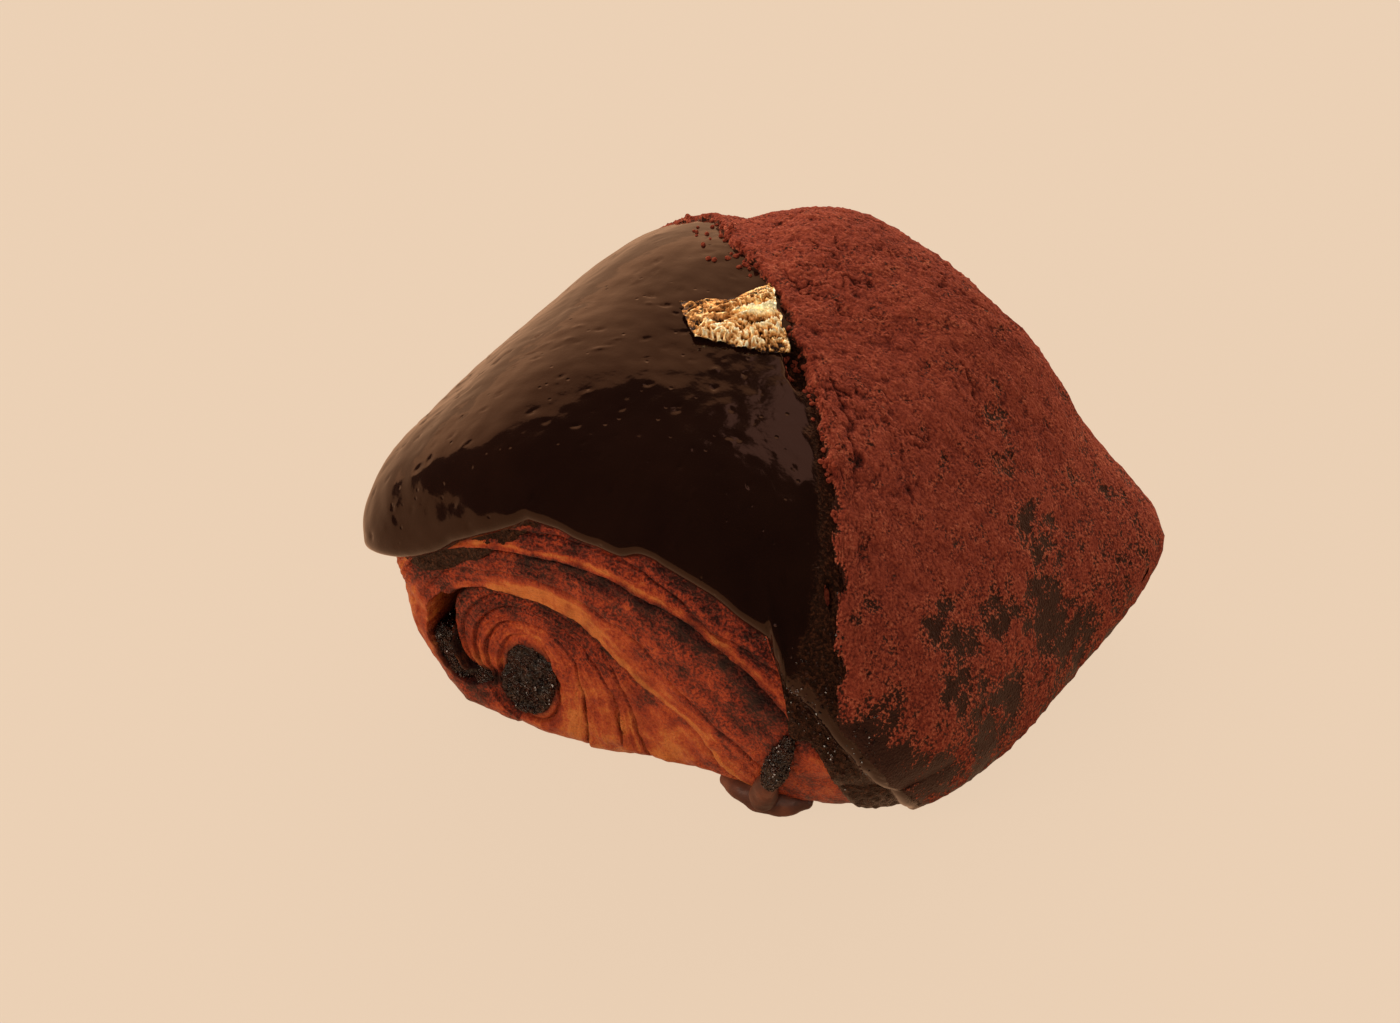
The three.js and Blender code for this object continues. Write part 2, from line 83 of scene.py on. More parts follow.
def setInputs(node, inputs):
    # a value that is a node stands for that node's first output
    for name, value in inputs.items():
        if isinstance(value, bpy.types.Node):
            value = value.outputs[0]
        if isinstance(value, bpy.types.NodeSocket):
            node.id_data.links.new(value, node.inputs[name])
        else:
            node.inputs[name].default_value = value


def addNode(tree, kind, inputs=None, stops=(), **settings):
    # stops are a colour ramp's, each a position with a hex colour or a grey
    node = tree.nodes.new(kind)
    for name, value in settings.items():
        setattr(node, name, value)
    setInputs(node, inputs or {})
    for i, (position, colour) in enumerate(stops):
        elements = node.color_ramp.elements
        element = elements[i] if i < len(elements) else elements.new(1.0)
        element.position = position
        element.color = hexColour(colour) if isinstance(colour, str) else (colour,) * 3 + (1,)
    return node


def startMaterial(name):
    material = bpy.data.materials.new(name)
    material.use_nodes = True
    material.node_tree.nodes.clear()
    add = partial(addNode, material.node_tree)
    shader = add("ShaderNodeBsdfPrincipled")
    add("ShaderNodeOutputMaterial", {"Surface": shader})
    place = add("ShaderNodeTexCoord").outputs["Object"]
    return material, add, shader, place


gradients = np.array([[x, y, z] for x in (-1, 0, 1) for y in (-1, 0, 1) for z in (-1, 0, 1)
                      if abs(x) + abs(y) + abs(z) == 2], float)
shuffled = np.random.default_rng(11).permutation(256)


def cellHash(cells):
    x, y, z = (cells[..., i] & 255 for i in range(3))
    return shuffled[(shuffled[(shuffled[x] + y) & 255] + z) & 255]


def noise(points, size, seed=0):
    # smooth noise from about -1 to 1, with lumps about as wide as size
    place = np.asarray(points, float) / size + 31.7 * seed + 500
    base = np.floor(place).astype(np.int64)
    inside = place - base
    fade = inside ** 3 * (inside * (inside * 6 - 15) + 10)
    total = np.zeros(place.shape[:-1])
    for corner in np.ndindex(2, 2, 2):
        offset = np.array(corner)
        gradient = gradients[cellHash(base + offset) % len(gradients)]
        weight = np.where(offset, fade, 1 - fade).prod(-1)
        total += weight * (gradient * (inside - offset)).sum(-1)
    return total * 1.5


def noises(points, *layers):
    # a sum of noises, each given as its strength, size and seed
    return sum(strength * noise(points, size, seed) for strength, size, seed in layers)


def cellNoise(points, size, seed=0):
    # distance to the nearest of scattered points, in mm, and that point's own random share
    place = np.asarray(points, float) / size + 17.3 * seed + 500
    base = np.floor(place).astype(np.int64)
    nearest = np.full(place.shape[:-1], 9.0)
    owner = np.zeros(place.shape[:-1])
    for corner in np.ndindex(3, 3, 3):
        cell = base + np.array(corner) - 1
        code = cellHash(cell)
        jitter = np.stack([shuffled[(code + k) & 255] / 255 for k in (1, 57, 113)], -1)
        distance = np.linalg.norm(cell + jitter - place, axis=-1)
        closer = distance < nearest
        nearest = np.where(closer, distance, nearest)
        owner = np.where(closer, shuffled[(code + 201) & 255] / 255, owner)
    return nearest * size, owner


def smoothstep(low, high, x):
    t = np.clip((np.asarray(x, float) - low) / (high - low), 0, 1)
    return t * t * (3 - 2 * t)


def lerp(a, b, t):
    return a + (b - a) * t


def bump(x, width):
    return np.exp(-(np.asarray(x, float) / width) ** 2)


def roundOff(q):
    # quarter circle that rises from 0 at 0 to 1 at 1
    q = np.clip(q, 0, 1)
    return np.sqrt(np.clip(1 - (1 - q) ** 2, 0, 1))


def smoothAlong(positions, values, x):
    # smooth curve through the values that keeps each a peak only where the list has one
    positions, values = np.asarray(positions, float), np.asarray(values, float)
    widths = np.diff(positions)
    slopes = np.diff(values) / widths
    before, after = slopes[:-1], slopes[1:]
    tangents = np.zeros(len(values))
    steady = before * after > 0
    tangents[1:-1][steady] = 2 * (before * after)[steady] / (before + after)[steady]
    i = np.clip(np.searchsorted(positions, x, side="right") - 1, 0, len(slopes) - 1)
    t = np.clip((x - positions[i]) / widths[i], 0, 1)
    return ((1 + 2 * t) * (1 - t) ** 2 * values[i] + t * (1 - t) ** 2 * widths[i] * tangents[i]
            + t * t * (3 - 2 * t) * values[i + 1] + t * t * (t - 1) * widths[i] * tangents[i + 1])


def makePiece(name, points, faces, material, nodes=(), attributes=None):
    # closed mesh from points in mm in the roll's frame, turned the right way out and laid on the root body
    points = np.clip((np.asarray(points, float) + shift) * millimetre, *cadBox)
    triangles = np.array([[f[0], f[i], f[i + 1]] for f in faces for i in range(1, len(f) - 1)])
    a, b, c = (points[triangles[:, i]] for i in range(3))
    if (a * np.cross(b, c)).sum() < 0:
        faces = [tuple(reversed(f)) for f in faces]
    mesh = bpy.data.meshes.new(name)
    mesh.from_pydata(points.tolist(), [], faces)
    for label, values in (attributes or {}).items():
        vector = np.ndim(values) == 2
        layer = mesh.attributes.new(label, "FLOAT_VECTOR" if vector else "FLOAT", "POINT")
        layer.data.foreach_set("vector" if vector else "value", np.ravel(values).astype(np.float32))
    mesh.shade_smooth()
    mesh.materials.append(material)
    piece = bpy.data.objects.new(name, mesh)
    bpy.context.scene.collection.objects.link(piece)
    finishPiece(piece, nodes)
    print(f"{name}: {len(triangles)} triangles")
    return piece


def finishPiece(piece, nodes):
    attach(piece, "root")
    if nodes:
        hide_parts(*nodes)


def gridFaces(rows, columns, closed=False, first=0):
    # quads of a grid whose vertex number is first + row * columns + column
    across = columns if closed else columns - 1
    row, column = np.meshgrid(np.arange(rows - 1), np.arange(across), indexing="ij")
    a = first + row * columns + column
    b = first + row * columns + (column + 1) % columns
    return np.stack([a, b, b + columns, a + columns], -1).reshape(-1, 4).tolist()


def tubeFaces(rows, columns):
    # closed rings drawn to a point at each end, which are the two vertices after the rings
    count = rows * columns
    last = count - columns
    faces = gridFaces(rows, columns, closed=True)
    faces += [(count, (i + 1) % columns, i) for i in range(columns)]
    return faces + [(count + 1, last + i, last + (i + 1) % columns) for i in range(columns)]


def gridEdge(rows, columns):
    # vertex numbers round the edge of a grid
    index = np.arange(rows * columns).reshape(rows, columns)
    return np.concatenate([index[:, 0], index[-1, 1:], index[-2::-1, -1], index[0, -2:0:-1]])


def bandFaces(loop, nextLoop):
    return np.stack([loop, nextLoop, np.roll(nextLoop, -1), np.roll(loop, -1)], -1).tolist()


# ---- camera ----

view = {
    "target": (-4.1, 3.7, 20.0),
    "azimuth": 30, "elevation": 38,
    "distance": 520,
    "pan": (-8.955, -0.224),  # mm to the camera's right and up, which sets the object off the middle
    "lens": 89.6,
}


def addCamera():
    azimuth, elevation = math.radians(view["azimuth"]), math.radians(view["elevation"])
    back = Vector((math.sin(azimuth) * math.cos(elevation),
                   -math.cos(azimuth) * math.cos(elevation), math.sin(elevation)))
    right = Vector((math.cos(azimuth), math.sin(azimuth), 0))
    up = back.cross(right)
    aim = Vector(np.array(view["target"]) + shift) + view["pan"][0] * right + view["pan"][1] * up
    lens = bpy.data.cameras.new("camera")
    lens.lens = view["lens"]
    lens.sensor_width = 36
    lens.clip_start = 0.01
    camera = bpy.data.objects.new("camera", lens)
    camera.location = (aim + back * view["distance"]) * millimetre
    camera.rotation_euler = (-back).to_track_quat("-Z", "Y").to_euler()
    bpy.context.scene.collection.objects.link(camera)
    bpy.context.scene.camera = camera


addCamera()


# ---- the roll's outline ----

roll = {
    "start": -39.4, "end": 42.4,  # the two cut ends
    "centre": (-17.6, 12.3),  # the stick that the sheet is rolled round
    "settle": 0.4,  # the base is pressed flat by this much
    "wallStart": 0.95,  # share of the outline where a cut end becomes the side wall
}
outlines = {
    "near": [(-33.2, 0), (-49.2, 22.5), (-43, 36.5), (-26, 47.2), (-4, 48),
             (15, 42), (31, 25.5), (42, 11.2), (26, 0), (-16, 0)],
    "middle": [(-35.4, 0), (-49.8, 24), (-42, 39.8), (-26.5, 51), (-5.5, 52),
               (17.3, 45), (36.5, 27.2), (43.2, 6.2), (29.5, 0), (-16, 0)],
    "far": [(-35, 0), (-47.2, 22.8), (-41.3, 37.4), (-22.5, 48.7), (-5.2, 53.2),
            (20.8, 43), (32.3, 26), (51.2, 12.2), (29.5, 0), (-16, 0)],
}
endRoundness = {
    "near": [7, 4.3, 8, 8.4, 5.8, 6, 7.2, 3.8, 3.6, 9],
    "far": [7, 7.2, 7, 3.6, 7, 6, 8.8, 6, 3.2, 9],
}
rollMiddle = (roll["start"] + roll["end"]) / 2
rollHalf = (roll["end"] - roll["start"]) / 2


def catmullRom(p0, p1, p2, p3, t):
    # point between p1 and p2, at share t of the way
    return 0.5 * (2 * p1 + (p2 - p0) * t + (2 * p0 - 5 * p1 + 4 * p2 - p3) * t ** 2
                  + (3 * p1 - p0 - 3 * p2 + p3) * t ** 3)


def closedCurve(knots, samples):
    # even samples of a closed Catmull-Rom curve, and each sample's place among the knots
    knots = np.asarray(knots, float)
    place = np.arange(samples) / samples * len(knots)
    i = np.floor(place).astype(int)
    around = [knots[(i + k) % len(knots)] for k in (-1, 0, 1, 2)]
    return catmullRom(*around, (place - i)[:, None]), place


perDegree = 4  # entries of the tables below
tableLength = 360 * perDegree


def polarTables(knots, roundness):
    # radius and end roundness all the way round the roll's centre, from -180 degrees on
    points, place = closedCurve(knots, 2 * tableLength)
    x = points[:, 0] - roll["centre"][0]
    z = np.maximum(points[:, 1], 0) - roll["centre"][1]
    i = np.floor(place).astype(int)
    rounds = np.asarray(roundness, float)
    rounding = lerp(rounds[i], rounds[(i + 1) % len(rounds)], place - i)
    bearing = np.degrees(np.arctan2(z, x))
    order = np.argsort(bearing)
    even = np.arange(tableLength) / perDegree - 180
    return [np.interp(even, bearing[order], values[order], period=360)
            for values in (np.hypot(x, z), rounding)]


tables = {
    "near": polarTables(outlines["near"], endRoundness["near"]),
    "middle": polarTables(outlines["middle"], endRoundness["near"]),
    "far": polarTables(outlines["far"], endRoundness["far"]),
}


def lookUp(table, bearing):
    place = ((bearing + 180) % 360) * perDegree
    low = np.floor(place).astype(int)
    t = place - low
    return table[low % tableLength] * (1 - t) + table[(low + 1) % tableLength] * t


def outlineRadius(bearing, v):
    near, middle, far = (lookUp(tables[key][0], bearing) for key in ("near", "middle", "far"))
    return near * v * (v - 1) / 2 + middle * (1 - v * v) + far * v * (v + 1) / 2


def roundnessAt(bearing, v):
    return np.where(v < 0, lookUp(tables["near"][1], bearing), lookUp(tables["far"][1], bearing))


def skinPoint(bearing, share, v, sink=0.0):
    radius = outlineRadius(bearing, v) * share
    angle = np.radians(bearing)
    x = roll["centre"][0] + radius * np.cos(angle)
    z = roll["centre"][1] + radius * np.sin(angle) - roll["settle"]
    y = rollMiddle + v * rollHalf - np.sign(v) * sink
    return np.stack(np.broadcast_arrays(x, y, np.maximum(z, 0)), -1)


def outside(points, grow=0.0):
    # above 0 outside the dough's skin grown by a distance, below 0 inside it
    v = (points[..., 1] - rollMiddle) / (rollHalf + grow)
    x = points[..., 0] - roll["centre"][0]
    z = points[..., 2] - roll["centre"][1] + roll["settle"]
    bearing = np.degrees(np.arctan2(z, x))
    inRange = np.clip(v, -1, 1)
    n = roundnessAt(bearing, inRange)
    radius = outlineRadius(bearing, inRange) + grow
    return (np.hypot(x, z) / radius) ** n + np.abs(v) ** n - 1


def normalAt(points, grow=0.0, reach=0.5):
    steps = np.eye(3) * reach
    slope = np.stack([outside(points + s, grow) - outside(points - s, grow) for s in steps], -1)
    return slope / np.linalg.norm(slope, axis=-1, keepdims=True)


def halve(low, high, test, rounds=30):
    # the values between low and high where a test turns from true to false
    low, high = np.array(low, float), np.array(high, float)
    for _ in range(rounds):
        middle = (low + high) / 2
        true = test(middle)
        low = np.where(true, middle, low)
        high = np.where(true, high, middle)
    return low


# ---- the rolled sheet on the cut ends ----

# Each crease between two turns of the sheet, as (bearing, radius) round the roll's centre in degrees and
# mm, from the lower left over the top to the lower right. The turn outside a crease stands up by "rise"
# over "fade" mm, the one inside it rolls down by "tuck", and "dark" is how dark the gap is painted,
# both burnt dough and painted shade in the crease.
creases = [
    {"path": [(250, 7.9), (215, 7.3), (198, 6.9), (180, 6.4), (150, 6.9), (120, 7.6), (90, 7.2), (68, 5.4),
              (44, 3.9), (10, 3.4), (-12, 3.5), (-46, 5), (-80, 7.4), (-110, 7.9)],
     "gap": 0.5, "tuck": 0.3, "rise": 0.15, "fade": 1.0, "dark": 0.35},
    {"path": [(215, 8.3), (198, 7.7), (190, 8.3), (180, 8.7), (150, 9.4), (120, 10), (90, 10), (62, 9.7),
              (48, 9.2), (32, 8.4), (10, 7.8), (-17, 8.3), (-45, 11.6), (-62, 15)],
     "gap": 0.65, "tuck": 0.45, "rise": 0.35, "fade": 1.4, "dark": 0.6},
    {"path": [(205, 8.9), (198, 8.5), (190, 9.7), (180, 10.4), (150, 11.6), (120, 12.3), (90, 12.5),
              (57, 12.3), (42, 12.3), (25, 12.4), (13, 12.8), (2, 13.2), (-13, 14.2), (-26, 15.8), (-42, 20)],
     "gap": 0.65, "tuck": 0.4, "rise": 0.35, "fade": 1.6, "dark": 0.5},
    {"path": [(202, 9.2), (198, 9), (190, 11), (180, 12.1), (150, 13.9), (120, 14.6), (90, 14), (60, 14.6),
              (45, 15.2), (28, 15), (18, 15.1), (8, 15.5), (0, 16), (-15, 18), (-30, 23)],
     "gap": 0.5, "tuck": 0.3, "rise": 0.25, "fade": 1.5, "dark": 0.4},
    {"path": [(202, 9.8), (198, 9.7), (190, 12.2), (180, 13.7), (165, 14.9), (148, 16.8), (137, 17.4),
              (122, 16.6), (109, 16), (97, 15.4), (78, 15.9), (57, 16.6), (44, 17), (28, 18.6), (15, 22.4),
              (8, 26), (3, 27.8), (-4, 30), (-12, 35), (-20, 42)],
     "gap": 1.15, "tuck": 1.0, "rise": 0.9, "fade": 3.2, "dark": 0.95},
    {"path": [(160, 20), (148, 20.8), (134, 20.8), (112, 19.7), (90, 19.7), (74, 20.1), (55, 21.5),
              (41, 23.7), (30, 25), (24, 26), (14, 28.9), (8, 31.5), (4, 34), (0, 36.2), (-8, 41.5),
              (-16, 48)],
     "gap": 0.45, "tuck": 0.35, "rise": 0.1, "fade": 1.5, "dark": 0.5},
    {"path": [(150, 24.8), (120, 23.6), (103, 23.5), (87, 24.2), (72, 25.9), (58, 28), (47, 30.8),
              (35, 34.5), (27, 37.2), (18, 40.9), (8, 45.4), (-4, 52)],
     "gap": 1.2, "tuck": 1.1, "rise": 0.85, "fade": 2.6, "dark": 0.5},
    {"path": [(125, 28), (105, 27), (90, 27.8), (75, 29.4), (60, 31.6), (46, 34.2), (38, 35.4), (31, 38.4),
              (26, 40.6), (20, 43.6), (8, 49), (-2, 55)],
     "gap": 0.6, "tuck": 0.45, "rise": 0.5, "fade": 1.6, "dark": 0.55},
]
sheet = {
    "gapWidth": 0.24,
    "softBelow": 0.6,  # creases that rise less than this close up over the roll's top left
    "coreSink": 1.5,  # the inner turns stand back from the outer ones
    "heelFrom": -48, "heelTo": -12, "heelSink": 5.2,  # the lower edge is drawn in up to the sheet's tail
    "layers": 3,  # layers of dough that show between two creases
    "layerRelief": 0.16,
}


def raised(bearing):
    # bearings under the roll's left side count on from those above it
    return np.where(bearing < -110, bearing + 360, bearing)


def creaseTables():
    # at each quarter degree from -110 to 250: radius, slope factor and strength of every crease
    even = np.arange(-110, 250.01, 0.25)
    rows = []
    for crease in creases:
        angles, radii = np.array(crease["path"][::-1], float).T
        radius = smoothAlong(angles, radii, np.clip(even, angles[0], angles[-1]))
        turn = np.gradient(radius, np.radians(even)) / radius
        strength = smoothstep(angles[0] - 1, angles[0] + 14, even)
        strength = strength * smoothstep(angles[-1] + 1, angles[-1] - 16, even)
        if angles[0] == -110:
            strength = np.ones_like(even)
        rows.append((radius, 1 / np.hypot(1, turn), strength))
    return even, np.array(rows)


creaseBearings, creaseRows = creaseTables()


def creaseRelief(angle, radius, wander, fray):
    # what the creases do at each place: how far it stands back in mm, how dark it is painted, which is burnt
    # dough and painted shade in the crease, and its turn of the sheet, which counts up by one from each
    # crease to the next
    sink, char, order, last = (np.zeros_like(radius) for _ in range(4))
    for crease, row in zip(creases, creaseRows):
        middle, factor, strength = (np.interp(angle, creaseBearings, values) for values in row)
        away = (radius - middle) * factor + wander * 0.5
        outer = away > 0
        soft = 1 - 0.65 * bump(angle - 130, 75) * (crease["rise"] < sheet["softBelow"])
        gap = crease["gap"] * soft * bump(away, sheet["gapWidth"] * (0.8 + 0.6 * fray))
        tuck = crease["tuck"] * np.exp(-np.abs(away) / 1.3) * ~outer
        rise = crease["rise"] * roundOff(away / 0.55) * np.exp(-np.maximum(away, 0) / crease["fade"]) * outer
        sink = sink + strength * (gap + tuck - rise * (0.75 + 0.5 * fray))
        # painted shade along the crease, on top of the burnt dough there
        char = char + strength * soft * crease["dark"] * bump(away + 0.05, 0.3 + 0.12 * fray)
        order = order + np.clip((radius - last) / np.maximum(middle - last, 0.2), 0, 1)
        last = middle
    return sink, char, order, last


def toastAndLightAt(plan, angle, up, order, ribbon, ridge, outermost):
    # 0 is pale honey, 1 deep brown: each turn has its own tone; crests get a painted highlight, and the tops
    # of the inner turns under the ribbon get painted shade on top of their deeper baking
    turns = [0, 1, 2, 3, 4, 4.7, 5, 5.5, 6, 6.5, 6.9, 7.05, 7.6, 8, 8.5, 9]
    tones = [0.4, 0.36, 0.28, 0.24, 0.28, 0.42, 0.4, 0.42, 0.52, 0.6, 0.78, 0.6, 0.62, 0.72, 0.82, 0.7]
    toast = np.interp(order, turns, tones)
    # the ribbon's rounded edge is pale dough, made lighter still by a painted highlight
    honey = bump(ribbon - 0.85, 0.75) * (ribbon > 0) + 0.5 * bump(ribbon - 2.4, 0.5)
    toast = toast - honey * (0.42 - 0.12 * noise(plan, 4.0, 17))
    # painted highlight on the crests of the outer turns
    crestHighlight = bump(ridge - 1.1, 0.5) + 0.5 * bump(outermost - 0.9, 0.45)
    toast = toast - 0.42 * crestHighlight * smoothstep(5.0, 6.0, order)
    inside = 1 - smoothstep(4.9, 5.05, order)
    left = smoothstep(135, 165, angle)
    # the tops of the inner turns are darker: deeper baking and painted shade under the ribbon's ledge
    toast = toast + inside * (0.5 * up * smoothstep(0.8, 3.5, order)
                              - 0.1 * smoothstep(40, 0, angle) * (1 - left))
    onRibbon = smoothstep(4.9, 5.05, order) * smoothstep(6.2, 5.6, order)
    toast = toast + onRibbon * (0.42 * bump(angle - 135, 32) - 0.3 * bump(angle - 75, 35))
    toast = lerp(toast, 0.2, left * smoothstep(4.95, 5.3, order) * smoothstep(215, 190, angle))
    toast = lerp(toast, 0.6, smoothstep(192, 214, angle))
    toast = lerp(toast, 0.3, nearTail(plan))
    return np.clip(toast + 0.14 * noise(plan, 6.0, 8) + 0.12 * noise(plan, 2.2, 9), 0, 1)


def nearTail(plan):
    # 1 at the sheet's pale tail, at the lower right
    return bump(np.hypot(plan[..., 0] - 45.5, plan[..., 2] - 1.5), 6.5)


def charAndShadeAt(plan, angle, order, char, ribbon, ridge, fray):
    # the burnt streak under the ridge, painted shade under the widest fold, two blotches, and what touches
    # the sticks
    window = smoothstep(112, 92, angle) * smoothstep(4, 20, angle)
    width = lerp(1.3, 2.3, smoothstep(100, 60, angle)) * (0.85 + 0.5 * noise(plan, 3.5, 12))
    streak = window * bump(np.minimum(ridge + 0.9, 0) + np.maximum(ridge + 0.2, 0) * 2.4, width)
    streak = streak * (0.8 + 0.45 * noise(plan, 2.6, 18) + 0.3 * noise(plan, 1.0, 19))
    char = (char + 0.95 * streak) * (1 - 0.8 * nearTail(plan))
    # painted shade on the inner turns just under the ribbon's ledge
    shadeUnderFold = (1 - smoothstep(4.9, 5.05, order)) * smoothstep(1.9, 0.4, -ribbon)
    shadeUnderFold = shadeUnderFold * smoothstep(25, 45, angle) * smoothstep(128, 108, angle)
    char = char + 0.5 * shadeUnderFold * (0.4 + fray)
    for x, z, radius, strength in ((17.0, 8.2, 3.0, 0.5), (8.5, 15.0, 2.6, 0.35)):
        char = char + strength * bump(np.hypot(plan[..., 0] - x, plan[..., 2] - z), radius) * fray
    x, z = roll["centre"][0] + plan[..., 0], roll["centre"][1] - roll["settle"] + plan[..., 2]
    for stick in (coreStrip(), sideStick):
        char = char + 0.8 * smoothstep(-1.3, 0.1, stripDepth(stick, x, z) + 0.5 * fray - 0.3)
    return np.clip(char, 0, 1)


def endRelief(bearing, share, side):
    # how far a cut end stands back at each place, in mm, with what the dough's colour needs to know there
    angle = raised(bearing)
    rim = outlineRadius(bearing, np.full_like(bearing, -0.95))
    radius = share * rim
    up = np.maximum(np.sin(np.radians(bearing)), 0)
    plan = np.stack([radius * np.cos(np.radians(bearing)), np.full_like(share, side * 40.0),
                     radius * np.sin(np.radians(bearing))], -1)
    wander = noises(plan, (0.3, 4.5, 3), (0.12, 1.4, 6))
    fray = 0.5 + 0.5 * noise(plan, 2.2, 7)
    sink, char, order, last = creaseRelief(angle, radius, wander, fray)
    order = order + np.clip((radius - last) / np.maximum(rim - last, 0.2), 0, 1)
    distance = [(radius - np.interp(angle, creaseBearings, row[0])) * np.interp(angle, creaseBearings, row[1])
                for row in creaseRows]
    ribbon, ridge = distance[4] + wander * 0.5, distance[6] + wander * 0.6

    sink = sink + sheet["coreSink"] * (1 - smoothstep(4.2, 6.6, order))
    heel = smoothstep(sheet["heelFrom"], sheet["heelTo"], bearing) * (bearing <= sheet["heelTo"])
    sink = sink + sheet["heelSink"] * heel * smoothstep(0.5, 0.9, share)
    # the layers of the dough run along the sheet, unevenly, with blisters here and there
    across = order * sheet["layers"]
    layer = np.cos(2 * math.pi * (across + 0.25 * noise(plan, 3.0, 5)))
    strength = 0.55 + 0.45 * noise(plan, 5.0, 15)
    plain = 1 - smoothstep(5.0, 5.2, order) * (1 - smoothstep(5.9, 6.1, order)) * 0.7
    sink = sink + sheet["layerRelief"] * layer * strength * plain
    blister, size = cellNoise(plan, 2.6, 16)
    sink = sink - 0.22 * smoothstep(0.9, 0.2, blister) * (size > 0.6) * smoothstep(60, 20, bearing)
    sink = sink + noises(plan, (0.4, 9.0, 1), (0.16, 2.6, 2), (0.09, 1.1, 4))
    return {"sink": sink * smoothstep(0.0, 0.05, share),
            "toast": toastAndLightAt(plan, angle, up, order, ribbon, ridge, distance[7]),
            "char": charAndShadeAt(plan, angle, order, char, ribbon, ridge, fray),
            "follow": np.stack([np.radians(angle) * 16, across * 1.1, np.full_like(order, side)], -1)}


def endPosition(bearing, share, side):
    n = roundnessAt(bearing, np.full_like(bearing, side))
    return side * (1 - share ** n) ** (1 / n)


def evenBearings(count):
    points, _ = closedCurve(outlines["middle"], 4000)
    points[:, 1] = np.maximum(points[:, 1], 0)
    steps = np.linalg.norm(np.diff(points, axis=0, append=points[:1]), axis=1)
    places = np.concatenate([[0], np.cumsum(steps)])
    closed = np.vstack([points, points[:1]])
    wanted = np.arange(count) / count * places[-1]
    x, z = (np.interp(wanted, places, closed[:, i]) for i in (0, 1))
    return np.sort(np.degrees(np.arctan2(z - roll["centre"][1], x - roll["centre"][0])))


hollow = {  # where a turn has come away from the next, at the left of each end
    "spine": [(-34.4, 12.4), (-33.5, 16), (-32.9, 20.2), (-31.4, 22.8)],
    "half": [1.5, 1.7, 1.6, 0.4], "depth": 11.0,
}
sideStick = {
    "spine": [(-33.6, 12.6), (-32.6, 9.6), (-30, 7.6), (-26, 8.6)],
    "half": [1.7, 1.9, 1.7, 1.0],
}
coreStick = {"x": -19.1, "z": 11.1, "width": 8, "height": 12.2, "lean": 12}
stickStart = roll["start"] + sheet["coreSink"] - 0.3
stickLength = 80
stickPit = 2.2  # how far the dough stands back behind a stick's end


def openCurve(knots, t):
    # point on an open Catmull-Rom curve at shares t of its length in knots
    knots = np.asarray(knots, float)
    if knots.ndim == 1:
        knots = knots[:, None]
    padded = np.vstack([2 * knots[0] - knots[1], knots, 2 * knots[-1] - knots[-2]])
    place = np.clip(t, 0, 1) * (len(knots) - 1)
    i = np.minimum(np.floor(place).astype(int), len(knots) - 2)
    return catmullRom(*(padded[i + k] for k in range(4)), (place - i)[..., None])


def stripDepth(spec, x, z):
    # how far inside a bent strip each place lies, in mm, above 0 inside it
    t = np.linspace(0, 1, 60)
    spine = openCurve(spec["spine"], t)
    half = openCurve(spec["half"], t)[:, 0]
    best = np.full(x.shape, -99.0)
    for (spineX, spineZ), radius in zip(spine, half):
        best = np.maximum(best, radius - np.hypot(x - spineX, z - spineZ))
    return best


def coreStrip():
    # the middle stick as a strip along its long axis
    lean = math.radians(coreStick["lean"])
    half = coreStick["width"] / 2
    length = coreStick["height"] / 2 - half
    x, z = coreStick["x"], coreStick["z"]
    spine = [(x + s * length * math.sin(lean), z + s * length * math.cos(lean)) for s in (-1, -0.33, 0.33, 1)]
    return {"spine": spine, "half": [half] * 4}


def drawnIn(points):
    # the near end's left shoulder stands back under the coat
    amount = 1.8 * smoothstep(8, 20, points[..., 2]) * smoothstep(-37, -46, points[..., 0])
    amount = amount * smoothstep(5, -25, points[..., 1])
    return points + np.stack([amount, amount * 0, amount * 0], -1)


def sideWall(bearings, side, rows, relief):
    # the wall from a cut end to the roll's middle: its points, its toast and the way its layers run
    place = np.arange(1, rows + 1) / rows
    place, bearing = np.meshgrid(1 - np.cos(math.pi / 2 * place), bearings, indexing="ij")
    rim = endPosition(bearing, np.full_like(bearing, roll["wallStart"]), float(side))
    v = rim * (1 - place)
    n = roundnessAt(bearing, v)
    share = (1 - np.abs(v) ** n) ** (1 / n)
    skin = skinPoint(bearing, share, v)
    pull = 0.2 + 0.25 * noise(skin, 7.0, 31) + 0.14 * noise(skin * [1, 0.2, 1], 1.6, 32)
    pull = np.clip(pull, 0, 1) * smoothstep(0.0, 0.12, place)
    wall = skinPoint(bearing, share * (1 - pull / outlineRadius(bearing, v)), v)
    wall[..., 1] -= side * relief["sink"][-1] * (1 - smoothstep(0, 0.1, place))
    tone = 0.42 + 0.15 * np.sin(np.radians(bearing)) + 0.2 * noise(skin, 8.0, 33)
    tone = lerp(relief["toast"][-1], tone, smoothstep(0, 0.15, place))
    return wall, tone, np.stack([skin[..., 1], bearing * 0.5, np.full_like(v, 5)], -1)


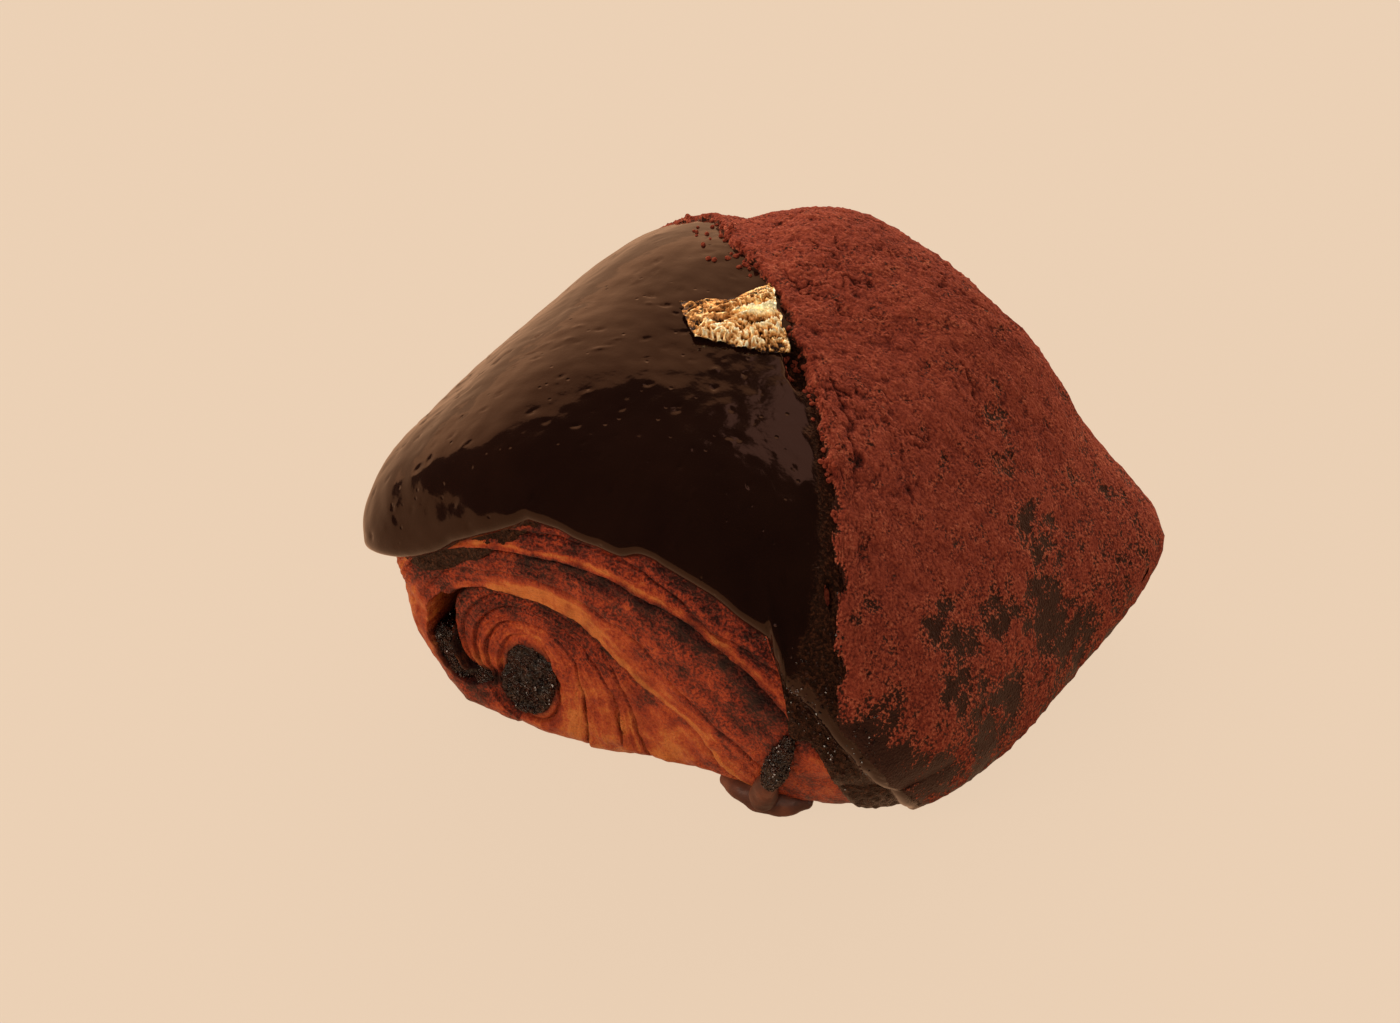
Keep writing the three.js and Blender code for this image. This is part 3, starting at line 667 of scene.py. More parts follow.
def makeHalf(name, side, columns, faceRows, wallRows):
    # one end of the roll with its wall up to the middle, closed there by a flat face inside
    bearings = evenBearings(columns)
    shares = np.arange(1, faceRows + 1) / faceRows * roll["wallStart"]
    share, bearing = np.meshgrid(shares, bearings, indexing="ij")
    v = endPosition(bearing, share, float(side))
    relief = endRelief(bearing, share, side)
    flat = skinPoint(bearing, share, v)
    inHollow = stripDepth(hollow, flat[..., 0], flat[..., 2]) + 0.3 * noise(flat, 1.6, 21)
    inStick = np.maximum(stripDepth(coreStrip(), flat[..., 0], flat[..., 2]),
                         stripDepth(sideStick, flat[..., 0], flat[..., 2]))
    sink = lerp(relief["sink"], hollow["depth"], smoothstep(-0.15, 0.3, inHollow))
    sink = sink + stickPit * smoothstep(0.0, 0.5, inStick) * (inHollow < 0.3)
    # painted shade darkens the dough inside the hollow
    relief["char"] = np.clip(relief["char"] + 0.85 * smoothstep(-0.2, 0.4, inHollow), 0, 1)
    face = skinPoint(bearing, share, v, sink)
    wall, wallTone, wallFollow = sideWall(bearings, side, wallRows, relief)

    points = drawnIn(np.vstack([face.reshape(-1, 3), wall.reshape(-1, 3)]))
    rows = faceRows + wallRows
    count = rows * columns
    centre = np.array([roll["centre"][0], side * (rollHalf - sheet["coreSink"] - stickPit) + rollMiddle,
                       roll["centre"][1] - roll["settle"]])
    points = np.vstack([points, centre, [centre[0], rollMiddle, centre[2]]])
    follow = [layer.reshape(-1, 3) for layer in (relief["follow"], wallFollow, np.zeros((2, 3)))]
    layers = {
        "toast": np.concatenate([relief["toast"].ravel(), wallTone.ravel(), [0.5, 0.5]]),
        "char": np.concatenate([relief["char"].ravel(), np.zeros(wallTone.size + 2)]),
        "follow": np.concatenate(follow),
    }
    piece = makePiece(name, points, tubeFaces(rows, columns), doughMaterial, ["dough_roll"],
                      layers)
    # the edge of the flat face inside isn't smoothed over
    ends = np.array([e.vertices[:] for e in piece.data.edges])
    sharp = ((ends >= count - columns) & (ends < count)).all(1)
    piece.data.attributes.new("sharp_edge", "BOOLEAN", "EDGE").data.foreach_set("value", sharp)


def bakedDough():
    # laminated yeast dough, egg-washed and baked: honey where a layer was covered, red-brown and freckled
    # where the oven reached it, almost black along the open creases, with a low buttery shine. Its tone also
    # carries a painted highlight on the crests, and its darkening carries painted shade in the creases, the
    # hollow and under the ribbon
    material, add, shader, place = startMaterial("baked laminated dough")
    toast = add("ShaderNodeAttribute", attribute_name="toast").outputs["Fac"]
    char = add("ShaderNodeAttribute", attribute_name="char").outputs["Fac"]
    follow = add("ShaderNodeAttribute", attribute_name="follow").outputs["Vector"]
    # layer lines: long along the sheet, about 0.6 mm across it
    stretched = add("ShaderNodeVectorMath", {0: follow, 1: (0.12, 1.5, 1.0)}, operation="MULTIPLY")
    lines = add("ShaderNodeTexNoise", {"Vector": stretched, "Scale": 1.0, "Detail": 3, "Roughness": 0.55})
    freckles = add("ShaderNodeTexNoise", {"Vector": place, "Scale": 2300, "Detail": 2, "Roughness": 0.65})
    blotches = add("ShaderNodeTexNoise", {"Vector": place, "Scale": 300, "Detail": 4, "Roughness": 0.6})
    lineTone = add("ShaderNodeMapRange", {"Value": lines, "From Min": 0.3, "From Max": 0.7,
                                          "To Min": 0.12, "To Max": -0.14})
    blotchTone = add("ShaderNodeMapRange", {"Value": blotches, "From Min": 0.35, "From Max": 0.65,
                                            "To Min": -0.14, "To Max": 0.14})
    freckleTone = add("ShaderNodeMapRange", {"Value": freckles, "From Min": 0.4, "From Max": 0.66,
                                             "To Min": -0.25, "To Max": 0.55})
    speckle = add("ShaderNodeMath", {0: freckleTone, 1: toast}, operation="MULTIPLY")
    tone = toast
    for part in (lineTone, blotchTone, speckle):
        tone = add("ShaderNodeMath", {0: tone, 1: part}, operation="ADD")
    crust = add("ShaderNodeValToRGB", {"Fac": tone}, stops=[
        (0.0, "#d27536"), (0.2, "#bd5225"), (0.42, "#a53a1c"), (0.68, "#6e2618"), (1.0, "#31120e")])
    # burnt dough and painted shade both pull the colour towards near-black
    burntAndShaded = add("ShaderNodeMath", {0: char, 1: blotchTone}, operation="ADD", use_clamp=True)
    colour = add("ShaderNodeMix", {0: burntAndShaded, 6: crust, 7: hexColour("#231010")}, data_type="RGBA")
    gloss = add("ShaderNodeMapRange", {"Value": blotches, "From Min": 0.3, "From Max": 0.7,
                                       "To Min": 0.3, "To Max": 0.5})
    relief = add("ShaderNodeBump", {"Height": freckles, "Distance": 0.0004, "Strength": 0.8})
    relief = add("ShaderNodeBump", {"Height": lines, "Distance": 0.0006, "Strength": 0.6, "Normal": relief})
    setInputs(shader, {"Base Color": colour.outputs[2], "Roughness": gloss, "Normal": relief, "IOR": 1.45})
    return material


doughMaterial = bakedDough()
makeHalf("roll_near", -1, 480, 165, 22)
makeHalf("roll_far", 1, 380, 110, 22)


# ---- the chocolate sticks ----

def stripPoint(spec, u, w, grow=0.0):
    # point across (w, -1 to 1) and along (u, 0 to 1) a bent strip, with round ends
    spine = openCurve(spec["spine"], np.linspace(0, 1, 60))
    length = np.linalg.norm(np.diff(spine, axis=0), axis=1).sum()
    first, last = spec["half"][0] + grow, spec["half"][-1] + grow
    place = -first + u * (length + first + last)
    t = np.clip(place / length, 0, 1)
    point = openCurve(spec["spine"], t)
    before, after = (openCurve(spec["spine"], np.clip(t + step, 0, 1)) for step in (-0.02, 0.02))
    ahead = after - before
    ahead = ahead / np.linalg.norm(ahead, axis=-1, keepdims=True)
    beyond = np.minimum(place, 0) + np.maximum(place - length, 0)
    half = openCurve(spec["half"], t)[..., 0] + grow
    half = np.sqrt(np.maximum(half ** 2 - beyond ** 2, 1e-4))
    side = np.stack([-ahead[..., 1], ahead[..., 0]], -1)
    return point + ahead * beyond[..., None] + side * (w * half)[..., None]


def makeStick(name, spec, start, end, material, node):
    along, across, steps = 110, 60, 6  # steps run from one end to the other
    u, w = np.meshgrid(np.linspace(0, 1, along), np.linspace(-1, 1, across), indexing="ij")
    flat = stripPoint(spec, u, w, 0.25)
    inside = stripDepth(spec, flat[..., 0], flat[..., 1]) + 0.25
    dome = roundOff(inside / 1.3)
    caps = []
    for side, y in ((-1, start), (1, end)):
        plan = np.stack([flat[..., 0], np.full_like(u, y), flat[..., 1]], -1)
        chips, share = cellNoise(plan + 0.3 * noise(plan, 0.9, 45)[..., None], 1.7, 43)
        grit, _ = cellNoise(plan, 0.7, 44)
        lift = 0.6 * noise(plan, 3.2, 41) + 0.95 * (share - 0.3) * smoothstep(1.05, 0.35, chips) - 0.15
        lift = lift + 0.2 * smoothstep(0.5, 0.15, grit) + 0.1 * noise(plan, 0.5, 42)
        cap = np.stack([flat[..., 0], y + side * (dome * (0.5 + lift) - 0.6), flat[..., 1]], -1)
        caps.append(cap.reshape(-1, 3))
    ring = gridEdge(along, across)
    count = along * across
    points = [caps[0], caps[1]]
    faces = gridFaces(along, across) + [f[::-1] for f in gridFaces(along, across, first=count)]
    loops = [ring]
    for k in range(1, steps):
        loops.append(2 * count + (k - 1) * len(ring) + np.arange(len(ring)))
        points.append(lerp(caps[0][ring], caps[1][ring], k / steps))
    loops.append(ring + count)
    for loop, nextLoop in zip(loops, loops[1:]):
        faces += bandFaces(loop, nextLoop)
    return makePiece(name, np.vstack(points), faces, material, [node])


def bakedChocolate():
    # chocolate that has been through the oven: nearly black, dry and crumbly, with small wet glints
    material, add, shader, place = startMaterial("baked dark chocolate")
    lumps = add("ShaderNodeTexNoise", {"Vector": place, "Scale": 700, "Detail": 4, "Roughness": 0.6})
    grains = add("ShaderNodeTexVoronoi", {"Vector": place, "Scale": 1700})
    colour = add("ShaderNodeValToRGB", {"Fac": lumps},
                 stops=[(0.34, "#0f0606"), (0.52, "#210e0b"), (0.66, "#47251b")])
    gloss = add("ShaderNodeValToRGB", {"Fac": lumps}, stops=[(0.4, 0.4), (0.6, 0.13)])
    relief = add("ShaderNodeBump", {"Height": grains, "Distance": 0.0005, "Strength": 1.0})
    relief = add("ShaderNodeBump", {"Height": lumps, "Distance": 0.0018, "Strength": 1.0, "Normal": relief})
    setInputs(shader, {"Base Color": colour, "Roughness": gloss, "Normal": relief,
                       "Specular IOR Level": 0.65})
    return material


stickMaterial = bakedChocolate()
stickEnd = stickStart + stickLength
coreStickPiece = makeStick("core_stick", coreStrip(), stickStart, stickEnd, stickMaterial, "stick_core")
sideStickPiece = makeStick("side_stick", sideStick, stickStart + 0.6, stickEnd - 0.6, stickMaterial,
                           "stick_side")


# ---- the poured coat ----

coat = {
    "middle": np.array([-6.0, 1.5, 15.0]),  # point that the coat is drawn round
    "thickness": 2.3,
    "swell": 0.7, "swellFrom": (2.0, 9.0),  # extra thickness of the lip, over this distance from it
    "lipRound": 2.1,
    "calm": (10.0, -9.0, 49.5),  # the coat lies smooth round here
    "thinCoat": 1.1,  # the first coat below the lip at the right
    "film": 0.32,  # the smear of it at the left
    "columns": 580, "topRows": 108, "bandRows": 20, "lipRows": 16,
    "bandFrom": 9.0, "lipFrom": 3.0,  # distances from the lip at which its closer rows start
    "glossShare": 0.82, "glossEnd": -30.0,  # more columns on the glossy side, which ends at this bearing
    "backRows": (-1, -12, -24, -36, -52, -70, -90, -112),  # rows of the outer face that have an inner one
    "sunk": 0.6, "sunkLeft": 2.8,  # how deep the inner face lies in the dough, and at the left
}
lipEdge = [  # height of the coat's lowest edge, by bearing
    (-180, 22.5), (-150, 21.4), (-138, 22.6), (-134, 24.6), (-128.6, 27.2), (-124, 29.9), (-121.4, 31.8),
    (-118.9, 34.1), (-115, 36.4), (-111.3, 38.3), (-108, 40), (-105, 41.5), (-100, 41.4), (-95.3, 40.7),
    (-90.5, 40.3), (-85.5, 40), (-81, 40.8), (-78.5, 40.6), (-76.2, 40.1), (-71.9, 39.2), (-67.8, 38.2),
    (-64.4, 37), (-61.4, 35.5), (-58.8, 34.4), (-56.2, 33.2), (-55.4, 31.2), (-54.2, 28.4), (-53.5, 24.5),
    (-52.8, 19.9), (-51.6, 19.2), (-50.3, 19.5), (-48.4, 17), (-46.8, 13.4), (-44.3, 8.7), (-42, 5.4),
    (-38, 3.4), (-34, 2.5), (-20, 2.2), (0, 2.6), (14, 4.4), (30, 8), (40, 16), (50, 29), (62, 38), (90, 42),
    (112, 38), (130, 29), (150, 24), (180, 22.5),
]
thinWidths = [  # how far the first coat shows below the thick one, by bearing
    (-132, 0), (-129, 0.7), (-126, 2.4), (-122.3, 3.4), (-118.7, 3.9), (-115, 4.3), (-111, 2.7), (-105, 1.5),
    (-100, 0), (-56, 0), (-54.6, 0.5), (-54, 1.2), (-53.5, 3.6), (-52.8, 7.4), (-51.6, 6.9), (-50.3, 5.3),
    (-48.4, 5.6), (-46.8, 7.2), (-44.3, 10), (-42, 11), (-40, 9.6), (-38, 7.4), (-36, 5), (-34, 2.4),
    (-32, 0),
]
boundary = [  # the cocoa's edge on the plan, from the far left to the near right
    (-60, 40), (-46, 38), (-34.5, 34), (-26, 27.8), (-20, 20.9), (-13.9, 14.5), (-8.6, 11.4), (-5.2, 9.2),
    (0.2, 3.3), (5.9, -2.9), (10, -6.4), (14.1, -11.8), (18.6, -17.6), (22.7, -24.1), (26.2, -29.5),
    (28.9, -34.2), (30.4, -39), (31.5, -50),
]
poolTurn = (0.62, -0.78)  # the way the pools below run, on the plan
pools = [  # hollows in the coat where it has pulled away from the cocoa: x, y, length, width, depth
    (3.3, -0.3, 8.6, 3.7, 2.1),
    (22.9, -27.4, 3.4, 1.3, 1.2),
]


def directionAt(bearing, elevation):
    flat = np.cos(elevation)
    turn = np.radians(bearing)
    return np.stack([flat * np.cos(turn), flat * np.sin(turn), np.sin(elevation)], -1)


def reach(direction):
    return halve(np.zeros(direction.shape[:-1]), np.full(direction.shape[:-1], 90.0),
                 lambda distance: outside(coat["middle"] + direction * distance[..., None]) < 0)


def skinAt(bearing, elevation):
    direction = directionAt(bearing, elevation)
    return coat["middle"] + direction * reach(direction)[..., None]


def lipHeight(bearing):
    positions, heights = np.array(lipEdge, float).T
    height = smoothAlong(positions, heights, bearing)
    wobble = 0.5 * noise(np.stack([bearing / 9, bearing * 0, bearing * 0], -1), 1.0, 51)
    wobble = wobble * smoothstep(4, 12, height) * (1 - bump(bearing + 90, 50))
    return height + wobble - thinWidth(bearing) * (bearing < -90)


def thinWidth(bearing):
    positions, widths = np.array(thinWidths, float).T
    ragged = 0.12 * noise(np.stack([bearing / 4, bearing * 0, bearing * 0], -1), 1.0, 52)
    return np.maximum(np.interp(bearing, positions, widths) * (1 + ragged), 0)


def squareness(bearing, height):
    # how much shorter the way square to an edge is than the way straight down to it
    reachOut = 42.0
    slope = (height(bearing + 0.5) - height(bearing - 0.5)) / (math.radians(1) * reachOut)
    return 1 / np.hypot(1, slope)


def lipElevation(bearing):
    height = lipHeight(bearing)
    return halve(np.radians(np.full(bearing.shape, -60.0)), np.radians(np.full(bearing.shape, 89.0)),
                 lambda elevation: skinAt(bearing, elevation)[..., 2] < height)


def columnRuns(bearings):
    # for each column, its elevations from the top down and their distances from the lip along the skin
    lip = lipElevation(bearings)
    t = np.linspace(0, 1, 150)[:, None]
    elevation = lerp(math.pi / 2, lip[None, :], t)
    points = skinAt(np.broadcast_to(bearings, elevation.shape), elevation)
    steps = np.linalg.norm(np.diff(points, axis=0), axis=-1)
    fromTop = np.vstack([np.zeros((1, len(bearings))), np.cumsum(steps, axis=0)])
    return elevation, fromTop[-1] - fromTop


def elevationsAt(elevation, distances, wanted):
    # elevation at each wanted distance from the lip, column by column
    found = [np.interp(wanted[:, j], distances[::-1, j], elevation[::-1, j]) for j in range(wanted.shape[1])]
    return np.stack(found, 1)


def pastThinCoat(bearing, fromLip):
    # distance from the thick coat's own edge, square to it close by
    def thickEdge(at):
        return lipHeight(at) + thinWidth(at)
    past = fromLip - thinWidth(bearing)
    return past * lerp(squareness(bearing, thickEdge), 1.0, smoothstep(2, 7, past))


def coatThickness(bearing, fromLip):
    past = pastThinCoat(bearing, fromLip)
    swell = coat["swell"] * (1 - smoothstep(-42, -24, bearing) * (1 - smoothstep(120, 150, bearing)))
    thick = coat["thickness"] + swell * (1 - smoothstep(*coat["swellFrom"], past))
    thinLayer = np.where(bearing < -90, coat["film"], coat["thinCoat"]) * (thinWidth(bearing) > 0.3)
    thin = thinLayer * roundOff(fromLip * squareness(bearing, lipHeight) / 1.0)
    return np.maximum(thick * roundOff(past / coat["lipRound"]), thin)


def sideOfBoundary(points):
    # distance on the plan from the cocoa's edge, above 0 on the cocoa's side
    line = np.array(boundary, float)
    place = points[..., :2]
    best = np.full(place.shape[:-1], 1e9)
    sign = np.zeros(place.shape[:-1])
    for a, b in zip(line, line[1:]):
        span = b - a
        t = np.clip(((place - a) @ span) / (span @ span), 0, 1)
        away = place - (a + t[..., None] * span)
        distance = np.linalg.norm(away, axis=-1)
        cross = span[0] * away[..., 1] - span[1] * away[..., 0]
        closer = distance < best
        best = np.where(closer, distance, best)
        sign = np.where(closer, np.sign(cross), sign)
    return best * sign


def poolDip(points):
    dip = np.zeros(points.shape[:-1])
    for x, y, length, width, depth in pools:
        along = (points[..., 0] - x) * poolTurn[0] + (points[..., 1] - y) * poolTurn[1]
        across = (points[..., 1] - y) * poolTurn[0] - (points[..., 0] - x) * poolTurn[1]
        distance = np.hypot(along / length, across / width) * 2
        dip += depth * (1 - smoothstep(0.55, 1.1, distance + 0.25 * noise(points, 1.5, 61)))
    return dip


def coatSurface(bearing, fromLip, elevation):
    # outer face of the coat with its ripples, and the directions square to the skin under it
    skin = skinAt(bearing, elevation)
    square = normalAt(skin, 0.0, 0.8)
    thickness = coatThickness(bearing, fromLip)
    settled = smoothstep(0.5, 3.0, fromLip)
    ripples = 0.28 * noise(skin, 17.0, 71) + 0.15 * noise(skin * [1, 0.55, 1], 6.5, 72)
    ripples = ripples + 0.06 * noise(skin, 2.6, 73)
    pits, share = cellNoise(skin + 0.5 * noise(skin, 2.0, 75)[..., None], 2.5, 74)
    dents = 0.22 * bump(pits, 0.42) * (share > 0.45) - 0.15 * bump(pits, 0.45) * (share < 0.22)
    calm = smoothstep(6, 14, np.linalg.norm(skin - np.array(coat["calm"]), axis=-1))
    ripples = lerp(0.35 * ripples, ripples, calm)
    dents = dents * lerp(0.2, 1, calm) * smoothstep(30, 12, skin[..., 0])
    relief = (ripples - 0.1 - dents) * settled - poolDip(skin)
    grit = thinZone(bearing, fromLip) * (0.16 * noise(skin, 1.1, 76) + 0.1 * noise(skin, 0.6, 77))
    thickEnough = smoothstep(1.1, 1.6, thickness)
    return skin + square * (thickness + relief * thickEnough + grit)[..., None], square, skin


def thinZone(bearing, fromLip):
    # 1 on the first coat where it shows, 0 on the thick one
    return (1 - smoothstep(-0.2, 0.4, pastThinCoat(bearing, fromLip))) * (thinWidth(bearing) > 0.3)


def makeCoat():
    share = np.arange(coat["columns"]) / coat["columns"]
    glossShare, glossEnd = coat["glossShare"], coat["glossEnd"]
    bearings = np.where(share < glossShare, lerp(-180, glossEnd, share / glossShare),
                        lerp(glossEnd, 180, (share - glossShare) / (1 - glossShare)))
    elevation, distances = columnRuns(bearings)
    total = distances[0]
    band, lipBand = coat["bandFrom"], coat["lipFrom"]
    top = [lerp(total, np.full_like(total, band), i / coat["topRows"]) for i in range(1, coat["topRows"])]
    middle = [np.full_like(total, lerp(band, lipBand, i / coat["bandRows"])) for i in range(coat["bandRows"])]
    low = [np.full_like(total, lipBand * (1 - math.sin(math.pi / 2 * i / coat["lipRows"])))
           for i in range(coat["lipRows"] + 1)]
    wanted = np.array(top + middle + low)
    bearing = np.broadcast_to(bearings, wanted.shape)
    outer, square, skin = coatSurface(bearing, wanted, elevationsAt(elevation, distances, wanted))
    depth = lerp(coat["sunk"], coat["sunkLeft"], smoothstep(-36, -44, skin[..., 0]))[..., None]
    inner = np.array([skin[i] - square[i] * depth[i] for i in coat["backRows"]])
    columns = len(bearings)
    rows = outer.shape[0] + inner.shape[0]
    # one vertex closes the coat at the top outside, another inside
    crown = skinAt(np.zeros(1), np.full(1, math.pi / 2))
    poles = np.vstack([crown, crown - [0, 0, coat["sunk"]]])
    poles[0, 2] = outer[0, :, 2].mean()
    points = np.vstack([outer.reshape(-1, 3), inner.reshape(-1, 3), poles])
    side = sideOfBoundary(points)
    tier = np.zeros(len(points))
    tier[:wanted.size] = thinZone(bearing, wanted).reshape(-1)
    wide = lerp(0.4, 6.0, bump(points[:, 2] - 25, 15))
    crystals = smoothstep(-wide - 1.0, -wide + 0.5, side + 0.8 * noise(points, 2.2, 78)) * (points[:, 1] < 4)
    onRim = np.concatenate([pastThinCoat(bearing, wanted).ravel(), np.zeros(len(points) - wanted.size)])
    crystals = crystals * smoothstep(1.8, 3.0, onRim)
    return makePiece("poured_coat", points, tubeFaces(rows, columns), chocolateGlaze(), ["chocolate_coat"],
                     {"crystals": crystals, "tier": tier})


def chocolateGlaze():
    # dark couverture poured warm: a tight, glassy skin that mirrors the light, with specks and pinholes in
    # it, and a dull, sugary grain where it meets the cocoa and on the thin first coat
    material, add, shader, place = startMaterial("poured dark couverture")
    fringe = add("ShaderNodeAttribute", attribute_name="crystals").outputs["Fac"]
    tier = add("ShaderNodeAttribute", attribute_name="tier").outputs["Fac"]
    rough = add("ShaderNodeMath", {0: fringe, 1: tier}, operation="MAXIMUM")
    grain = add("ShaderNodeTexNoise", {"Vector": place, "Scale": 1900, "Detail": 3, "Roughness": 0.6})
    cloud = add("ShaderNodeTexNoise", {"Vector": place, "Scale": 90, "Detail": 2})
    glossy = add("ShaderNodeValToRGB", {"Fac": cloud}, stops=[(0.3, "#1b0b08"), (0.7, "#22100b")])
    dull = add("ShaderNodeValToRGB", {"Fac": grain},
               stops=[(0.35, "#150a08"), (0.52, "#28130d"), (0.7, "#54301f")])
    colour = add("ShaderNodeMix", {0: rough, 6: glossy, 7: dull}, data_type="RGBA")
    polish = add("ShaderNodeMapRange", {"Value": rough, "To Min": 0.11, "To Max": 0.2})
    sheen = add("ShaderNodeMapRange", {"Value": rough, "To Min": 0.5, "To Max": 0.3})
    # pinholes a few tenths of a millimetre across, every few millimetres
    pinholes = add("ShaderNodeTexVoronoi", {"Vector": place, "Scale": 380})
    dents = add("ShaderNodeValToRGB", {"Fac": pinholes}, stops=[(0.0, 0.0), (0.13, 1.0)])
    ripple = add("ShaderNodeTexNoise", {"Vector": place, "Scale": 520, "Detail": 2})
    grit = add("ShaderNodeMath", {0: grain, 1: rough}, operation="MULTIPLY")
    relief = add("ShaderNodeBump", {"Height": dents, "Distance": 0.00016, "Strength": 0.6})
    relief = add("ShaderNodeBump", {"Height": ripple, "Distance": 0.00009, "Strength": 0.5, "Normal": relief})
    relief = add("ShaderNodeBump", {"Height": grit, "Distance": 0.0007, "Strength": 0.9, "Normal": relief})
    setInputs(shader, {"Base Color": colour.outputs[2], "Roughness": polish, "Specular IOR Level": sheen,
                       "Normal": relief, "IOR": 1.5, "Specular Tint": hexColour("#ffe2c8")})
    return material


coatPiece = makeCoat()


# ---- the cocoa dusting ----

cocoa = {
    "from": -64, "to": 166,  # bearings round the coat's middle between which it lies
    "columns": 400, "rows": 184,
    "thickness": 0.8, "thin": 0.42,  # mm at the top and near the lower edge
    "rim": (1.2, 4.4),  # bare distance from the lip
    "under": -0.55,  # how far it dips below the coat's face where it is bare
    "sunk": 0.75, "coarseness": 6,  # depth of its underside, and rows of its face to each of the underside's
}
wornPatches = [  # places on the coat where the cocoa has been rubbed off: x, y, z, radius, strength
    (26.5, 16.1, 41.5, 4.0, 0.7), (31.7, 11.0, 36.3, 3.4, 0.75), (36.2, 7.9, 31.1, 4.4, 0.9),
    (39.0, 8.5, 27.1, 3.6, 0.75), (43.0, 3.7, 19.7, 7.0, 0.8), (40.3, -6.0, 24.5, 4.4, 0.85),
    (36.8, -16.8, 28.3, 4.4, 0.85), (41.1, -18.3, 20.6, 4.6, 0.9), (38.4, -15.2, 26.3, 3.6, 0.9),
    (33.5, -35.5, 20.0, 6.5, 0.95), (36.5, -32.5, 14.0, 7.5, 1.2), (40.9, -27.0, 9.5, 6.5, 1.1),
    (43.9, -16.2, 7.1, 6.0, 1.0), (43.8, -8.9, 13.7, 4.5, 0.9), (43.6, -14.8, 13.5, 4.0, 0.75),
    (46.1, 8.3, 12.4, 6.0, 0.95), (24.4, -19.3, 40.5, 2.4, 0.7), (29.2, -25.1, 35.0, 2.2, 0.6),
]


def wornAway(points):
    # 0 where the cocoa lies thick, past 1 where it has been rubbed down to the coat
    warped = points + 1.7 * np.stack([noise(points, 4.2, seed) for seed in (85, 96, 97)], -1)
    worn = np.zeros(points.shape[:-1])
    for x, y, z, radius, strength in wornPatches:
        distance = np.linalg.norm(warped - np.array([x, y, z]), axis=-1) / radius
        worn = np.maximum(worn, strength * (1 - smoothstep(0.15, 1.35, distance)))
    ragged = noises(points, (0.3, 5.0, 98), (0.62, 2.1, 86), (0.36, 0.9, 87))
    return 0.86 * worn + 0.62 * ragged + 0.31 * smoothstep(42, 16, points[..., 2])


def cocoaHeight(points, past):
    # height of the cocoa's face over the coat's, in mm and below 0 where the coat shows, how worn it is, and
    # a tone for painted shade and light that follows the relief: low in splits and pocks, high on clumps
    side = sideOfBoundary(points) + noises(points, (0.8, 4.0, 81), (0.5, 1.3, 82))
    full = lerp(cocoa["thin"], cocoa["thickness"], smoothstep(26, 44, points[..., 2]))
    cover = smoothstep(-0.2, 1.1, side)
    low = past + noises(points, (1.4, 7.0, 83), (0.8, 2.0, 84))
    rim = 1 - smoothstep(*cocoa["rim"], low)
    cover = cover * smoothstep(1.0, 2.4, low) * (1 - smoothstep(0.15, 0.6, poolDip(points)))
    wear = wornAway(points) + 1.1 * rim
    clumps = noises(points, (0.2, 6.0, 88), (0.22, 2.6, 89), (0.13, 1.2, 90))
    grains, share = cellNoise(points, 0.9, 91)
    grainy = 0.13 * (1 - smoothstep(0.1, 0.5, grains)) * (0.4 + share) + 0.1 * noise(points, 0.6, 92)
    cracks = np.abs(noise(points, 4.6, 93) + 0.35 * noise(points, 1.7, 94))
    topness = smoothstep(28, 44, points[..., 2])
    split = 0.42 * (1 - smoothstep(0.0, 0.07, cracks)) * topness
    split = split * smoothstep(-0.15, 0.35, noise(points, 7.0, 95))
    pocks, odd = cellNoise(points, 3.4, 99)
    split = split + 0.4 * bump(pocks, 0.55) * (odd > 0.45) * topness
    along = smoothstep(-15, -11, points[..., 1]) * smoothstep(3, -1, points[..., 1])
    split = split + 0.5 * bump(side - 4.3, 0.28) * along
    edge = 0.35 * bump(side - 1.7, 1.1) * topness + 0.3 * bump(side - 3.4, 0.8) * along
    height = full * (0.75 + clumps) + grainy - split + edge
    height = height * (1 - 0.72 * smoothstep(0.3, 0.75, wear))
    # painted shade in the splits and pocks, painted light on the clumps, taken from the relief
    gap = (0.3 * clumps + grainy - 0.06 - split) / 0.35
    return lerp(cocoa["under"], height, cover), wear + 1.5 * (1 - cover), gap


